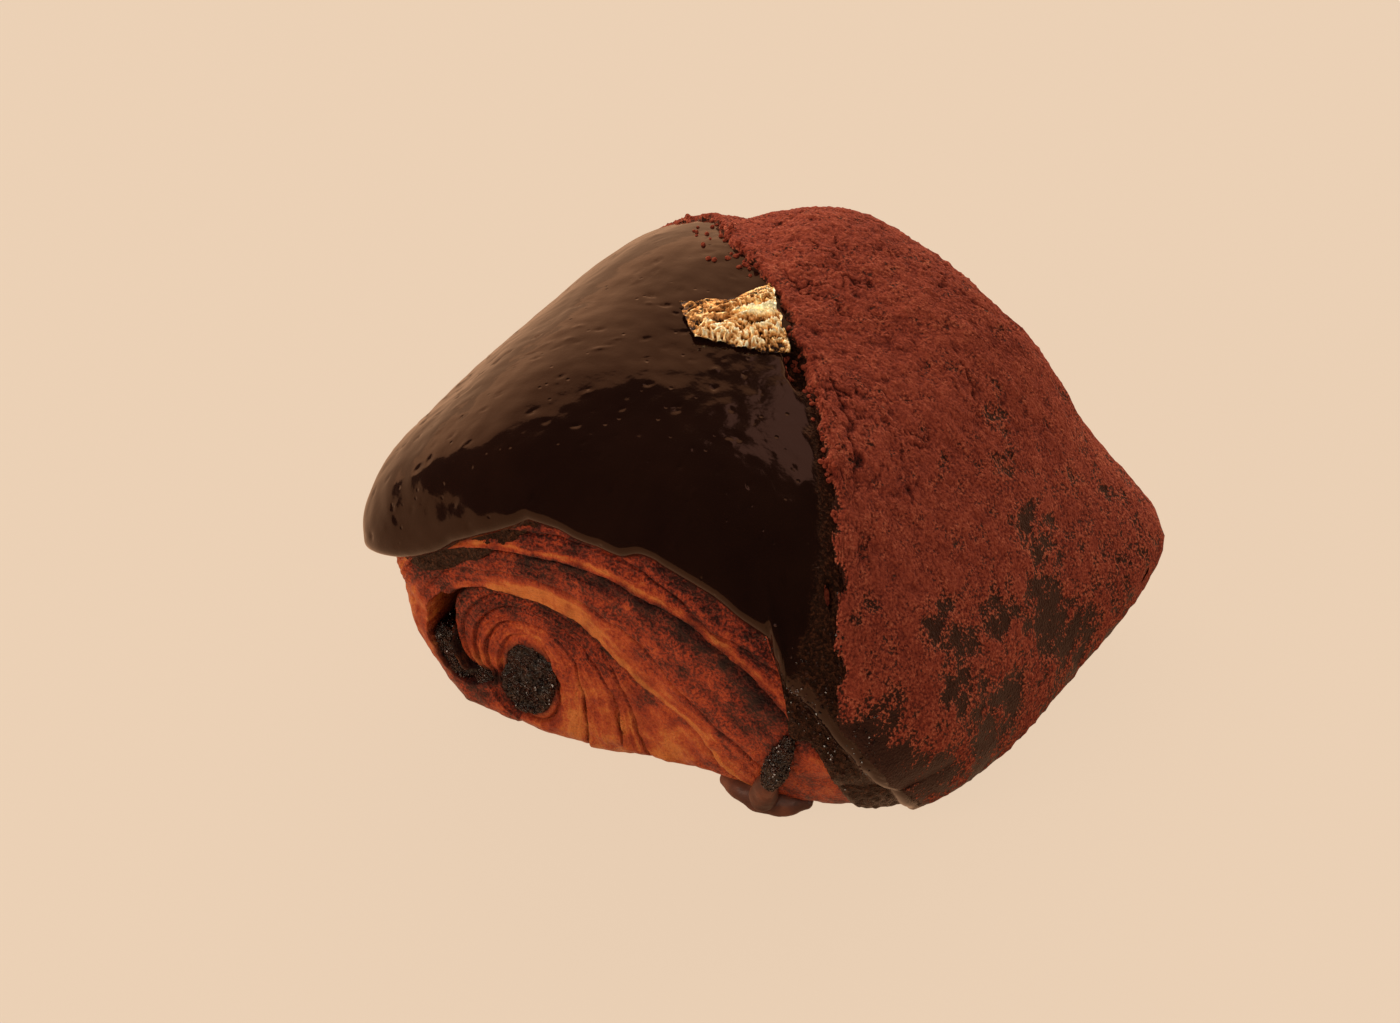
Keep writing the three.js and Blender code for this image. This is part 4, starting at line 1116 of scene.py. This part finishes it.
def makeCocoa():
    bearings = np.linspace(cocoa["from"], cocoa["to"], cocoa["columns"])
    elevation, distances = columnRuns(bearings)
    # the piece starts just past the edge of the cocoa, or a little below the coat's top
    probe = np.linspace(0, 1, 90)[:, None] * distances[0][None, :]
    probeFromLip = distances[0][None, :] - probe
    probePoints = skinAt(np.broadcast_to(bearings, probe.shape),
                         elevationsAt(elevation, distances, probeFromLip))
    near = sideOfBoundary(probePoints) > -2.6
    first = np.where(near.any(0), near.argmax(0), len(probe) - 12)
    start = np.take_along_axis(probeFromLip, first[None, :], 0)[0]
    start = np.convolve(np.pad(start, 4, mode="edge"), np.ones(9) / 9, mode="valid")
    start = np.clip(start, 4.0, distances[0] - 2.0)
    t = np.linspace(0, 1, cocoa["rows"])[:, None]
    wanted = lerp(start[None, :], 0.9, t)
    bearing = np.broadcast_to(bearings, wanted.shape)
    face, square, _ = coatSurface(bearing, wanted, elevationsAt(elevation, distances, wanted))
    height, wear, gap = cocoaHeight(face, pastThinCoat(bearing, wanted))
    rows, columns = wanted.shape
    points = face + square * height[..., None]
    # coarse underside, joined along the edges
    coarseRows, coarseColumns = (np.unique(np.r_[np.arange(0, n, cocoa["coarseness"]), n - 1])
                                 for n in (rows, columns))
    under = (face - square * cocoa["sunk"])[np.ix_(coarseRows, coarseColumns)]
    top = rows * columns
    faces = gridFaces(rows, columns)
    faces += [f[::-1] for f in gridFaces(len(coarseRows), len(coarseColumns), first=top)]
    index = np.arange(top).reshape(rows, columns)
    low = top + np.arange(under.shape[0] * under.shape[1]).reshape(under.shape[:2])

    def sewEdge(fine, coarse, places):
        for k in range(len(coarse) - 1):
            span = fine[places[k]:places[k + 1] + 1]
            faces.append([*span[::-1].tolist(), int(coarse[k]), int(coarse[k + 1])])

    sewEdge(index[0, :], low[0, :], coarseColumns)
    sewEdge(index[-1, ::-1], low[-1, ::-1], columns - 1 - coarseColumns[::-1])
    sewEdge(index[::-1, 0], low[::-1, 0], rows - 1 - coarseRows[::-1])
    sewEdge(index[:, -1], low[:, -1], coarseRows)
    allPoints = np.vstack([points.reshape(-1, 3), under.reshape(-1, 3)])
    pad = np.zeros(len(allPoints) - top)
    # "hollow" carries the painted shade and light from the relief
    attributes = {"wear": np.concatenate([wear.reshape(-1), pad]),
                  "hollow": np.concatenate([gap.reshape(-1), pad])}
    return makePiece("cocoa_dusting", allPoints, faces, cocoaPowder(),
                     attributes=attributes)


def cocoaPowder():
    # alkalised cocoa sifted on: dry, matt red-brown grains over the dark chocolate, which shows between
    # them where they lie thin and takes over where they have been rubbed off
    material, add, shader, place = startMaterial("sifted cocoa powder")
    grain = add("ShaderNodeTexNoise", {"Vector": place, "Scale": 2400, "Detail": 2, "Roughness": 0.6})
    clump = add("ShaderNodeTexNoise", {"Vector": place, "Scale": 330, "Detail": 4, "Roughness": 0.62})
    wear = add("ShaderNodeAttribute", attribute_name="wear").outputs["Fac"]
    reliefShade = add("ShaderNodeAttribute", attribute_name="hollow").outputs["Fac"]
    # thin cocoa is seen as single grains, so its grain has more contrast
    contrast = add("ShaderNodeMapRange", {"Value": wear, "From Min": -0.1, "From Max": 0.5,
                                          "To Min": 0.9, "To Max": 2.6})
    centred = add("ShaderNodeMath", {0: grain, 1: 0.5}, operation="SUBTRACT")
    soft = add("ShaderNodeMapRange", {"Value": clump, "From Min": 0.2, "From Max": 0.8,
                                      "To Min": 0.42, "To Max": 0.6})
    speckle = add("ShaderNodeMath", {0: centred, 1: contrast, 2: soft}, operation="MULTIPLY_ADD")
    # painted shade in the cocoa's low places and painted light on its clumps
    tone = add("ShaderNodeMath", {0: reliefShade, 1: 0.26, 2: speckle}, operation="MULTIPLY_ADD")
    powder = add("ShaderNodeValToRGB", {"Fac": tone}, stops=[
        (0.0, "#31130d"), (0.3, "#752c1f"), (0.56, "#a04630"), (0.95, "#c56a4b")])
    shown = add("ShaderNodeMath", {0: centred, 1: -2.3, 2: wear}, operation="MULTIPLY_ADD")
    lumpy = add("ShaderNodeMapRange", {"Value": clump, "From Min": 0.3, "From Max": 0.7,
                                       "To Min": 0.16, "To Max": -0.16})
    shown = add("ShaderNodeMath", {0: shown, 1: lumpy}, operation="ADD")
    bare = add("ShaderNodeMapRange", {"Value": shown, "From Min": 0.42, "From Max": 0.7})
    colour = add("ShaderNodeMix", {0: bare, 6: powder, 7: hexColour("#3a1c12")}, data_type="RGBA")
    dry = add("ShaderNodeMapRange", {"Value": bare, "To Min": 0.95, "To Max": 0.42})
    relief = add("ShaderNodeBump", {"Height": clump, "Distance": 0.0006, "Strength": 0.4})
    relief = add("ShaderNodeBump", {"Height": grain, "Distance": 0.0005, "Strength": 0.8, "Normal": relief})
    setInputs(shader, {"Base Color": colour.outputs[2], "Roughness": dry, "Normal": relief,
                       "Specular IOR Level": 0.25})
    return material


cocoaPiece = makeCocoa()


# ---- chocolate that has run out at the foot ----

seep = {  # the middle line of each bead, its radii and how grainy it is, in mm
    "drop": {"spine": [(23.8, -38.0, 18.8), (23.1, -38.5, 16.0), (22.2, -38.7, 13.0), (21.4, -38.5, 10.4)],
             "radii": [0.9, 1.6, 1.8, 1.4], "grain": 0.25},
    "run": {"spine": [(21.3, -38.2, 11.0), (20.2, -37.9, 8.2), (19.2, -36.8, 5.0)],
            "radii": [1.4, 1.9, 2.2], "grain": 0.04},
    "pool": {"spine": [(11.4, -34.0, 2.9), (14.6, -34.9, 3.1), (18.2, -35.2, 3.2), (21.6, -34.2, 3.2),
                       (24.4, -32.6, 2.9)],
             "radii": [1.0, 1.9, 2.3, 2.1, 1.0], "grain": 0.05},
}


def beadPoints(spine, radii):
    # round-ended bead along a spine, as rings with a tip at each end
    rows, sides, capRows, capLength = 60, 48, 12, 0.7
    t = np.linspace(0, 1, rows)
    centre = openCurve(spine, t)
    ahead = np.gradient(centre, axis=0)
    ahead = ahead / np.linalg.norm(ahead, axis=1, keepdims=True)
    radius = openCurve(radii, t)[:, 0]
    side = np.cross(ahead, [0, 1, 0])
    side = side / np.linalg.norm(side, axis=1, keepdims=True)
    out = np.cross(side, ahead)
    angle = np.arange(sides) / sides * 2 * math.pi

    def ring(row, beyond):
        # beyond runs from 0 at the round end's foot to a right angle at its tip, before the bead's start or
        # past its end
        shrink, along = math.cos(abs(beyond)), math.sin(beyond) * capLength
        spread = np.cos(angle)[:, None] * side[row] + np.sin(angle)[:, None] * out[row]
        return centre[row] + radius[row] * (along * ahead[row] + shrink * spread)

    turns = [math.pi / 2 * k / (capRows + 0.5) for k in range(1, capRows + 1)]
    rings = [ring(0, -turn) for turn in turns[::-1]] + [ring(row, 0.0) for row in range(rows)]
    rings += [ring(-1, turn) for turn in turns]
    tips = [centre[0] - ahead[0] * radius[0] * capLength, centre[-1] + ahead[-1] * radius[-1] * capLength]
    return np.array(rings), np.array(tips)


def makeBead(name, material):
    spec = seep[name]
    rings, tips = beadPoints(spec["spine"], spec["radii"])
    points = np.vstack([rings.reshape(-1, 3), tips])
    away = points - openCurve(spec["spine"], np.full(1, 0.5))[0]
    away = away / np.linalg.norm(away, axis=1, keepdims=True)
    grain = noises(points, (1, 1.0, 102), (0.55, 0.5, 103), (0.3025, 0.25, 104))
    points = points + away * (0.3 * noise(points, 3.0, 101) + spec["grain"] * grain - 0.15)[:, None]
    points[:, 2] = np.maximum(points[:, 2], 0.25)
    return makePiece("seep_" + name, points, tubeFaces(*rings.shape[:2]), material, ["chocolate_seep"])


def meltedChocolate():
    # the stick's chocolate that ran and set again: mid-brown and satin smooth
    material, add, shader, place = startMaterial("melted and set chocolate")
    cloud = add("ShaderNodeTexNoise", {"Vector": place, "Scale": 300, "Detail": 3})
    colour = add("ShaderNodeValToRGB", {"Fac": cloud},
                 stops=[(0.3, "#44241a"), (0.55, "#6a3a28"), (0.75, "#8a5239")])
    relief = add("ShaderNodeBump", {"Height": cloud, "Distance": 0.0005, "Strength": 0.5})
    setInputs(shader, {"Base Color": colour, "Roughness": 0.5, "Specular IOR Level": 0.35, "Normal": relief})
    return material


meltMaterial = meltedChocolate()
dropPiece = makeBead("drop", stickMaterial)
makeBead("run", meltMaterial)
makeBead("pool", meltMaterial)


# ---- the gold leaf ----

leaf = {
    "corners": [(-16.2, 1.1), (-7.3, 11.7), (2.4, 0.4), (-10.4, -5.0)],  # left, far, right, near, on the plan
    "waistFar": 0.15, "waistNear": -0.06,  # how far each long side is pinched in
    "steps": 190,
    "lift": 0.25, "thickness": 0.1,
    "folds": 1.1,
}


def surfaceHeight(x, y, grow):
    # height of the grown skin above a place on the plan
    def test(z):
        return outside(np.stack([x, y, z], -1), grow) < 0
    return halve(np.full(x.shape, 20.0), np.full(x.shape, 70.0), test)


def makeLeaf():
    left, far, right, near = (np.array(c, float) for c in leaf["corners"])
    u, w = np.meshgrid(np.linspace(0, 1, leaf["steps"]), np.linspace(0, 1, leaf["steps"]), indexing="ij")
    # u runs from the left edge to the right one, w from the near side to the far one
    pinch = np.sin(math.pi * u) * (leaf["waistFar"] * w ** 1.5 - leaf["waistNear"] * (1 - w) ** 1.5)
    w2 = w - pinch
    plan = (left * ((1 - u) * w2)[..., None] + far * (u * w2)[..., None]
            + near * ((1 - u) * (1 - w2))[..., None] + right * (u * (1 - w2))[..., None])
    flat = np.concatenate([plan, np.zeros_like(u)[..., None]], -1)
    margin = np.minimum(np.minimum(u, 1 - u), np.minimum(w, 1 - w))
    tear = 1.0 * noise(flat, 2.4, 111) + 0.35 * noise(flat, 0.9, 112)
    centre = plan.mean((0, 1))
    plan = plan + (plan - centre) * (0.06 * tear * (1 - smoothstep(0, 0.14, margin)))[..., None]
    flat = np.concatenate([plan, np.zeros_like(u)[..., None]], -1)
    # long folds run along the leaf, and the near right of it is crushed small
    turn = math.radians(50)
    along = flat[..., 0] * math.cos(turn) + flat[..., 1] * math.sin(turn)
    across = -flat[..., 0] * math.sin(turn) + flat[..., 1] * math.cos(turn)
    turned = np.stack([along * 0.34, across + 0.7 * noise(flat, 3.5, 113), along * 0], -1)
    long = 1 - 2 * np.abs(noise(turned, 1.9, 114))
    shorter = np.stack([along * 0.6, across, along * 0], -1) + 0.3 * long[..., None]
    creased = 1 - 2 * np.abs(noise(shorter, 0.95, 115))
    crisp = smoothstep(0.3, 0.75, 0.55 * u + 0.75 * (1 - w) + 0.35 * noise(flat, 4.0, 116))
    fine = (1 - 2 * np.abs(noise(flat, 0.8, 117))) + 0.6 * (1 - 2 * np.abs(noise(flat, 0.42, 118)))
    height = leaf["folds"] * (0.55 * long + 0.24 * creased + (0.08 + 0.34 * crisp) * fine) + 0.4
    # 1 where a fold catches the light, 0 in its shade
    flash = bump(along - 1.7, 4.4) * bump(across - 7.6 + 0.5 * noise(flat, 2.0, 119), 1.7)
    shade = 0.5 + 0.34 * long + 0.22 * creased + 0.3 * (0.3 + crisp) * fine * (1 - flash) + 0.9 * flash
    base = surfaceHeight(plan[..., 0], plan[..., 1], coat["thickness"] + 0.1)
    z = base + leaf["lift"] + height * (0.35 + 0.65 * smoothstep(0, 0.1, margin))
    upper = np.concatenate([plan, z[..., None]], -1).reshape(-1, 3)
    lower = upper - [0, 0, leaf["thickness"]]
    n = leaf["steps"]
    edge = gridEdge(n, n)
    faces = gridFaces(n, n) + [f[::-1] for f in gridFaces(n, n, first=n * n)] + bandFaces(edge, edge + n * n)
    return makePiece("gold_flake", np.vstack([upper, lower]), faces, goldLeaf(), ["gold_leaf"],
                     {"shade": np.tile(shade.ravel(), 2)})


def goldLeaf():
    # beaten gold leaf: thin metal, crushed so that every facet catches a different light
    material, add, shader, place = startMaterial("beaten gold leaf")
    crumple = add("ShaderNodeTexNoise", {"Vector": place, "Scale": 1700, "Detail": 3, "Roughness": 0.6})
    shade = add("ShaderNodeAttribute", attribute_name="shade").outputs["Fac"]
    tone = add("ShaderNodeMath", {0: crumple, 1: 0.9, 2: shade}, operation="MULTIPLY_ADD")
    tone = add("ShaderNodeMath", {0: tone, 1: -0.86}, operation="ADD")
    # the colour is painted light and shade from the folds, with a painted highlight on the widest fold
    colour = add("ShaderNodeValToRGB", {"Fac": tone}, stops=[
        (0.12, "#2e170a"), (0.3, "#946029"), (0.5, "#d89c58"), (0.72, "#f6d293"), (0.95, "#fffbd8")])
    # the widest fold is smooth, so it flashes
    crushed = add("ShaderNodeMapRange", {"Value": shade, "From Min": 0.95, "From Max": 1.3,
                                         "To Min": 0.8, "To Max": 0.06})
    relief = add("ShaderNodeBump", {"Height": crumple, "Distance": 0.0005, "Strength": crushed})
    setInputs(shader, {"Base Color": colour, "Metallic": 0.4, "Roughness": 0.2, "Normal": relief})
    return material


makeLeaf()


# ---- loose grains: cocoa crumbs and glossy specks of chocolate ----

crumbs = {
    "density": 1.5,  # grains per square millimetre where they lie thickest
    "smallest": 0.5, "largest": 1.15,  # in mm across
    "roundness": 2, "seed": 5,
}
specks = {
    "density": 3.5, "smallest": 0.28, "largest": 0.62,
    "roundness": 1, "seed": 8,
}


def scatterTree(name):
    # grains laid over a surface wherever its attribute "where" is above 0, as many as that says
    tree = bpy.data.node_groups.new(name, "GeometryNodeTree")
    tree.is_modifier = True
    kinds = {"Geometry": "Geometry", "Density": "Float", "Smallest": "Float", "Largest": "Float",
             "Roundness": "Int", "Seed": "Int", "Material": "Material"}
    for label, kind in kinds.items():
        tree.interface.new_socket(label, in_out="INPUT", socket_type="NodeSocket" + kind)
    tree.interface.new_socket("Geometry", in_out="OUTPUT", socket_type="NodeSocketGeometry")
    add = partial(addNode, tree)
    given = add("NodeGroupInput").outputs
    where = add("GeometryNodeInputNamedAttribute", {"Name": "where"}, data_type="FLOAT").outputs["Attribute"]
    density = add("ShaderNodeMath", {0: where, 1: given["Density"]}, operation="MULTIPLY")
    spots = add("GeometryNodeDistributePointsOnFaces",
                {"Mesh": given["Geometry"], "Density": density, "Seed": given["Seed"]})
    grain = add("GeometryNodeMeshIcoSphere", {"Radius": 0.5, "Subdivisions": given["Roundness"]})
    size = add("FunctionNodeRandomValue", {2: given["Smallest"], 3: given["Largest"], "Seed": given["Seed"]},
               data_type="FLOAT").outputs[1]
    squash = add("FunctionNodeRandomValue", {0: (0.7, 0.7, 0.6), 1: (1.15, 1.0, 0.95)},
                 data_type="FLOAT_VECTOR")
    scale = add("ShaderNodeVectorMath", {0: squash, "Scale": size}, operation="SCALE")
    turn = add("FunctionNodeRandomValue", {1: (6.28, 6.28, 6.28)}, data_type="FLOAT_VECTOR")
    laid = add("GeometryNodeInstanceOnPoints",
               {"Points": spots, "Instance": grain, "Rotation": turn, "Scale": scale})
    real = add("GeometryNodeRealizeInstances", {"Geometry": laid})
    finish = add("GeometryNodeSetMaterial", {"Geometry": real, "Material": given["Material"]})
    add("NodeGroupOutput", {"Geometry": finish})
    return tree


def scatter(name, tree, grounds, where, spec, material):
    # bake the grains that lie on some pieces into a plain mesh
    vertices, faces, amounts = [], [], []
    for ground in grounds:
        mesh = ground.data
        corners = np.empty(len(mesh.vertices) * 3)
        mesh.vertices.foreach_get("co", corners)
        corners = corners.reshape(-1, 3)
        amount = where(corners / millimetre - shift, ground.name)
        first = sum(len(part) for part in vertices)
        faces += [tuple(first + i for i in p.vertices) for p in mesh.polygons
                  if max(amount[i] for i in p.vertices) > 0]
        vertices.append(corners)
        amounts.append(amount)
    mesh = bpy.data.meshes.new(name + " ground")
    mesh.from_pydata(np.vstack(vertices).tolist(), [], faces)
    mesh.attributes.new("where", "FLOAT", "POINT").data.foreach_set("value", np.concatenate(amounts))
    base = bpy.data.objects.new(name + " ground", mesh)
    bpy.context.scene.collection.objects.link(base)
    modifier = base.modifiers.new("grains", "NODES")
    modifier.node_group = tree
    values = {"Density": spec["density"] / millimetre ** 2, "Smallest": spec["smallest"] * millimetre,
              "Largest": spec["largest"] * millimetre, "Roundness": spec["roundness"], "Seed": spec["seed"],
              "Material": material}
    for item in tree.interface.items_tree:
        if item.item_type == "SOCKET" and item.name in values:
            modifier[item.identifier] = values[item.name]
    evaluated = base.evaluated_get(bpy.context.evaluated_depsgraph_get())
    baked = bpy.data.meshes.new_from_object(evaluated)
    bpy.data.objects.remove(base)
    corners = np.empty(len(baked.vertices) * 3)
    baked.vertices.foreach_get("co", corners)
    baked.vertices.foreach_set("co", np.clip(corners.reshape(-1, 3), *cadBox).ravel())
    piece = bpy.data.objects.new(name, baked)
    bpy.context.scene.collection.objects.link(piece)
    finishPiece(piece, ())
    print(f"{name}: {len(baked.polygons)} triangles")
    return piece


def crumbAmount(points, _):
    # thick at the cocoa's upper edge, few in the pools and on the glaze beside it
    side = sideOfBoundary(points)
    edge = bump(side - 0.4, 1.0) * smoothstep(37, 47, points[..., 2])
    strewn = 0.06 * bump(side + 2.5, 2.6) * smoothstep(48, 53, points[..., 2]) * (points[..., 0] < -4)
    pool = 0.13 * smoothstep(0.5, 1.2, poolDip(points))
    patchy = smoothstep(-0.2, 0.5, noise(points, 4.0, 121))
    return np.clip(edge * patchy * 0.5 + strewn + pool, 0, 1) * (side > -9)


def speckAmount(points, name):
    # on the stick's end, the first coat, the drop, and the glaze beside the cocoa low down
    if name in ("core_stick", "side_stick"):
        return 0.8 * (points[..., 1] < roll["start"] + 3.0)
    if name == "seep_drop":
        return np.full(points.shape[:-1], 0.9)
    side = sideOfBoundary(points)
    low = smoothstep(44, 34, points[..., 2]) * smoothstep(6, 14, points[..., 2])
    beside = 0.4 * smoothstep(-6.5, -1, side) * (side < 0.8) * low
    beside = beside * smoothstep(0.1, 0.5, 0.3 + noise(points, 3.0, 122))
    x, z = points[..., 0], points[..., 2]
    first = bump(np.hypot(x - 25, (z - 24) / 1.6), 4.0) * (points[..., 1] < -34) * (side < 2)
    wornCorner = 0.5 * bump(np.linalg.norm(points - np.array([34.5, -34.5, 19.0]), axis=-1), 3.6)
    return np.clip(beside + 0.4 * first + wornCorner, 0, 1) * (side < 6)


def drySpeck():
    # broken dark chocolate: small hard grains with a wet glint on each
    material, add, shader, place = startMaterial("dark chocolate grains")
    tint = add("ShaderNodeTexNoise", {"Vector": place, "Scale": 700})
    colour = add("ShaderNodeValToRGB", {"Fac": tint}, stops=[(0.35, "#190c0b"), (0.65, "#3c2019")])
    setInputs(shader, {"Base Color": colour, "Roughness": 0.16})
    return material


grainTree = scatterTree("grains on a surface")
scatter("cocoa_crumbs", grainTree, [coatPiece, cocoaPiece], crumbAmount, crumbs, cocoaPiece.data.materials[0])
scatter("glossy_specks", grainTree, [coatPiece, cocoaPiece, coreStickPiece, sideStickPiece, dropPiece],
        speckAmount, specks, drySpeck())


# ---- floor and light ----

studio = {
    "floor": "#ecd2b7",
    "floorGlow": 0.93,  # share of the floor that the camera sees unshaded, as on a lit table
    "floorMirrored": (0.62, 0.33, 0.18),  # what the glaze mirrors of the floor
    "wallAzimuth": 119,  # degrees from +X towards +Y of the large light's middle
    "wallDistance": 2.2, "wallHeight": 2.85, "wallWidth": 7.0,
    "wallRadiance": 2.6,
    "wallMirroredLow": (1.08, 0.55, 0.29), "wallMirroredHigh": (0.62, 0.32, 0.18),
    "skyAzimuth": 77, "skyElevation": 54, "skySize": (0.62, 0.3),  # a small high light, at 1.5 m
    "skyMirrored": (0.78, 0.44, 0.37),
    "fill": ((-0.5, -0.9, 0.5), 0.5, 6.0),  # place in m, size in m and radiance of the light in front
    "gold": ((-0.45, 0.8, 0.85), 0.3, 85.0),  # the same of the light that only reaches the gold
    "sparkling": ("core_", "side_", "seep_", "gold_", "glossy_"),
    "sparkles": [  # the same of the small lights that only sparkle
        ((-0.6, -0.8, 0.4), 0.3, 10.0), ((0.2, -1.1, 0.7), 0.3, 10.0), ((0.9, -0.5, 0.6), 0.3, 10.0),
        ((0.1, -0.2, 1.2), 0.3, 9.0), ((-0.7, 0.2, 0.9), 0.3, 9.0), ((-0.45, 0.8, 0.85), 0.6, 6.0),
    ],
}


def addAreaLight(name, location, target, width, height, radiance, colour):
    light = bpy.data.lights.new(name, "AREA")
    light.shape = "RECTANGLE"
    light.size, light.size_y = width, height
    light.energy = radiance * math.pi * width * height
    light.color = hexColour(colour)[:3]
    lamp = bpy.data.objects.new(name, light)
    lamp.location = location
    lamp.rotation_euler = (Vector(location) - Vector(target)).to_track_quat("Z", "Y").to_euler()
    lamp.visible_glossy = False
    bpy.context.scene.collection.objects.link(lamp)
    return lamp


def addCard(name, corners, low, high):
    # a glowing card that only shows where something mirrors it, from one colour at its foot to another at
    # its top
    mesh = bpy.data.meshes.new(name)
    mesh.from_pydata([tuple(c) for c in corners], [], [(0, 1, 2, 3)])
    card = bpy.data.objects.new(name, mesh)
    material = bpy.data.materials.new(name)
    material.use_nodes = True
    material.node_tree.nodes.clear()
    add = partial(addNode, material.node_tree)
    place = add("ShaderNodeTexCoord").outputs["Object"]
    height = add("ShaderNodeSeparateXYZ", {"Vector": place}).outputs["Z"]
    heights = [c[2] for c in corners]
    rise = add("ShaderNodeMapRange", {"Value": height, "From Min": min(heights), "From Max": max(heights)})
    glow = add("ShaderNodeMix", {0: rise, 6: (*low, 1), 7: (*high, 1)}, data_type="RGBA").outputs[2]
    add("ShaderNodeOutputMaterial", {"Surface": add("ShaderNodeEmission", {"Color": glow, "Strength": 1.0})})
    mesh.materials.append(material)
    bpy.context.scene.collection.objects.link(card)
    for kind in ("camera", "diffuse", "transmission", "volume_scatter", "shadow"):
        setattr(card, "visible_" + kind, False)


def uprightCorners(middle, out, width, height):
    across = Vector((-out.y, out.x, 0)).normalized() * width / 2
    rise = across.cross(out).normalized() * height / 2
    rise = rise if rise.z > 0 else -rise
    return [middle - across - rise, middle + across - rise, middle + across + rise, middle - across + rise]


def addFloor():
    size = 8.0
    mesh = bpy.data.meshes.new("floor")
    corners = [(-size, -size, 0), (size, -size, 0), (size, size, 0), (-size, size, 0)]
    mesh.from_pydata(corners, [], [(0, 1, 2, 3)])
    floor = bpy.data.objects.new("floor", mesh)
    material, add, shader, _ = startMaterial("matt paper floor")
    colour = hexColour(studio["floor"])
    setInputs(shader, {"Base Color": colour, "Roughness": 0.9, "Specular IOR Level": 0.1})
    path = add("ShaderNodeLightPath").outputs
    glow = add("ShaderNodeEmission", {"Color": colour, "Strength": 1.0})
    mirrored = add("ShaderNodeEmission", {"Color": (*studio["floorMirrored"], 1), "Strength": 1.0})
    share = add("ShaderNodeMath", {0: path["Is Camera Ray"], 1: studio["floorGlow"]}, operation="MULTIPLY")
    seen = add("ShaderNodeMixShader", {0: share, 1: shader, 2: glow})
    seen = add("ShaderNodeMixShader", {0: path["Is Glossy Ray"], 1: seen, 2: mirrored})
    setInputs(material.node_tree.nodes["Material Output"], {"Surface": seen})
    mesh.materials.append(material)
    bpy.context.scene.collection.objects.link(floor)


def addStudio():
    addFloor()
    angle = math.radians(studio["wallAzimuth"])
    out = Vector((math.cos(angle), math.sin(angle), 0))
    height = studio["wallHeight"]
    place = out * studio["wallDistance"] + Vector((0, 0, height / 2))
    addAreaLight("window wall", place, (0, 0, height / 2), studio["wallWidth"], height,
                 studio["wallRadiance"], "#fff0de")
    addCard("mirrored wall", uprightCorners(place, out, studio["wallWidth"], height),
            studio["wallMirroredLow"], studio["wallMirroredHigh"])
    angle, rise = math.radians(studio["skyAzimuth"]), math.radians(studio["skyElevation"])
    out = Vector((math.cos(angle) * math.cos(rise), math.sin(angle) * math.cos(rise), math.sin(rise)))
    addCard("mirrored skylight", uprightCorners(out * 1.5, out, *studio["skySize"]),
            studio["skyMirrored"], studio["skyMirrored"])
    place, size, radiance = studio["fill"]
    addAreaLight("front fill", place, (0, 0, 0.02), size, size, radiance, "#fff1e2")
    # small lights that only sparkle, on the sticks, the grains and the gold: the glaze mirrors the window
    # alone
    sparkling = bpy.data.collections.new("sparkling")
    for piece in bpy.data.objects:
        if piece.name.startswith(studio["sparkling"]):
            sparkling.objects.link(piece)
    for place, size, radiance in studio["sparkles"]:
        lamp = addAreaLight("sparkle", place, (0, 0, 0.03), size, size, radiance, "#ffe6cc")
        lamp.visible_glossy, lamp.visible_diffuse = True, False
        lamp.light_linking.receiver_collection = sparkling

    # the leaf is thin enough to glow where it stands up, so it gets more of the window than the rest
    gilding = bpy.data.collections.new("gilding")
    gilding.objects.link(bpy.data.objects["gold_flake"])
    place, size, radiance = studio["gold"]
    lamp = addAreaLight("gold light", place, (0, 0, 0.05), size, size, radiance, "#fff0de")
    lamp.light_linking.receiver_collection = gilding

    world = bpy.data.worlds.new("studio")
    bpy.context.scene.world = world
    world.use_nodes = True
    world.node_tree.nodes.clear()
    add = partial(addNode, world.node_tree)
    path = add("ShaderNodeLightPath").outputs
    seen, dim, dark = (add("ShaderNodeBackground", {"Color": hexColour(colour), "Strength": strength})
                       for colour, strength in ((studio["floor"], 1.0), ("#f4e6d8", 0.35), ("#f4d8c0", 0.05)))
    soft = add("ShaderNodeMixShader", {0: path["Is Glossy Ray"], 1: dim, 2: dark})
    mixed = add("ShaderNodeMixShader", {0: path["Is Camera Ray"], 1: soft, 2: seen})
    add("ShaderNodeOutputWorld", {"Surface": mixed})
    bpy.context.scene.view_settings.view_transform = "Standard"


addStudio()
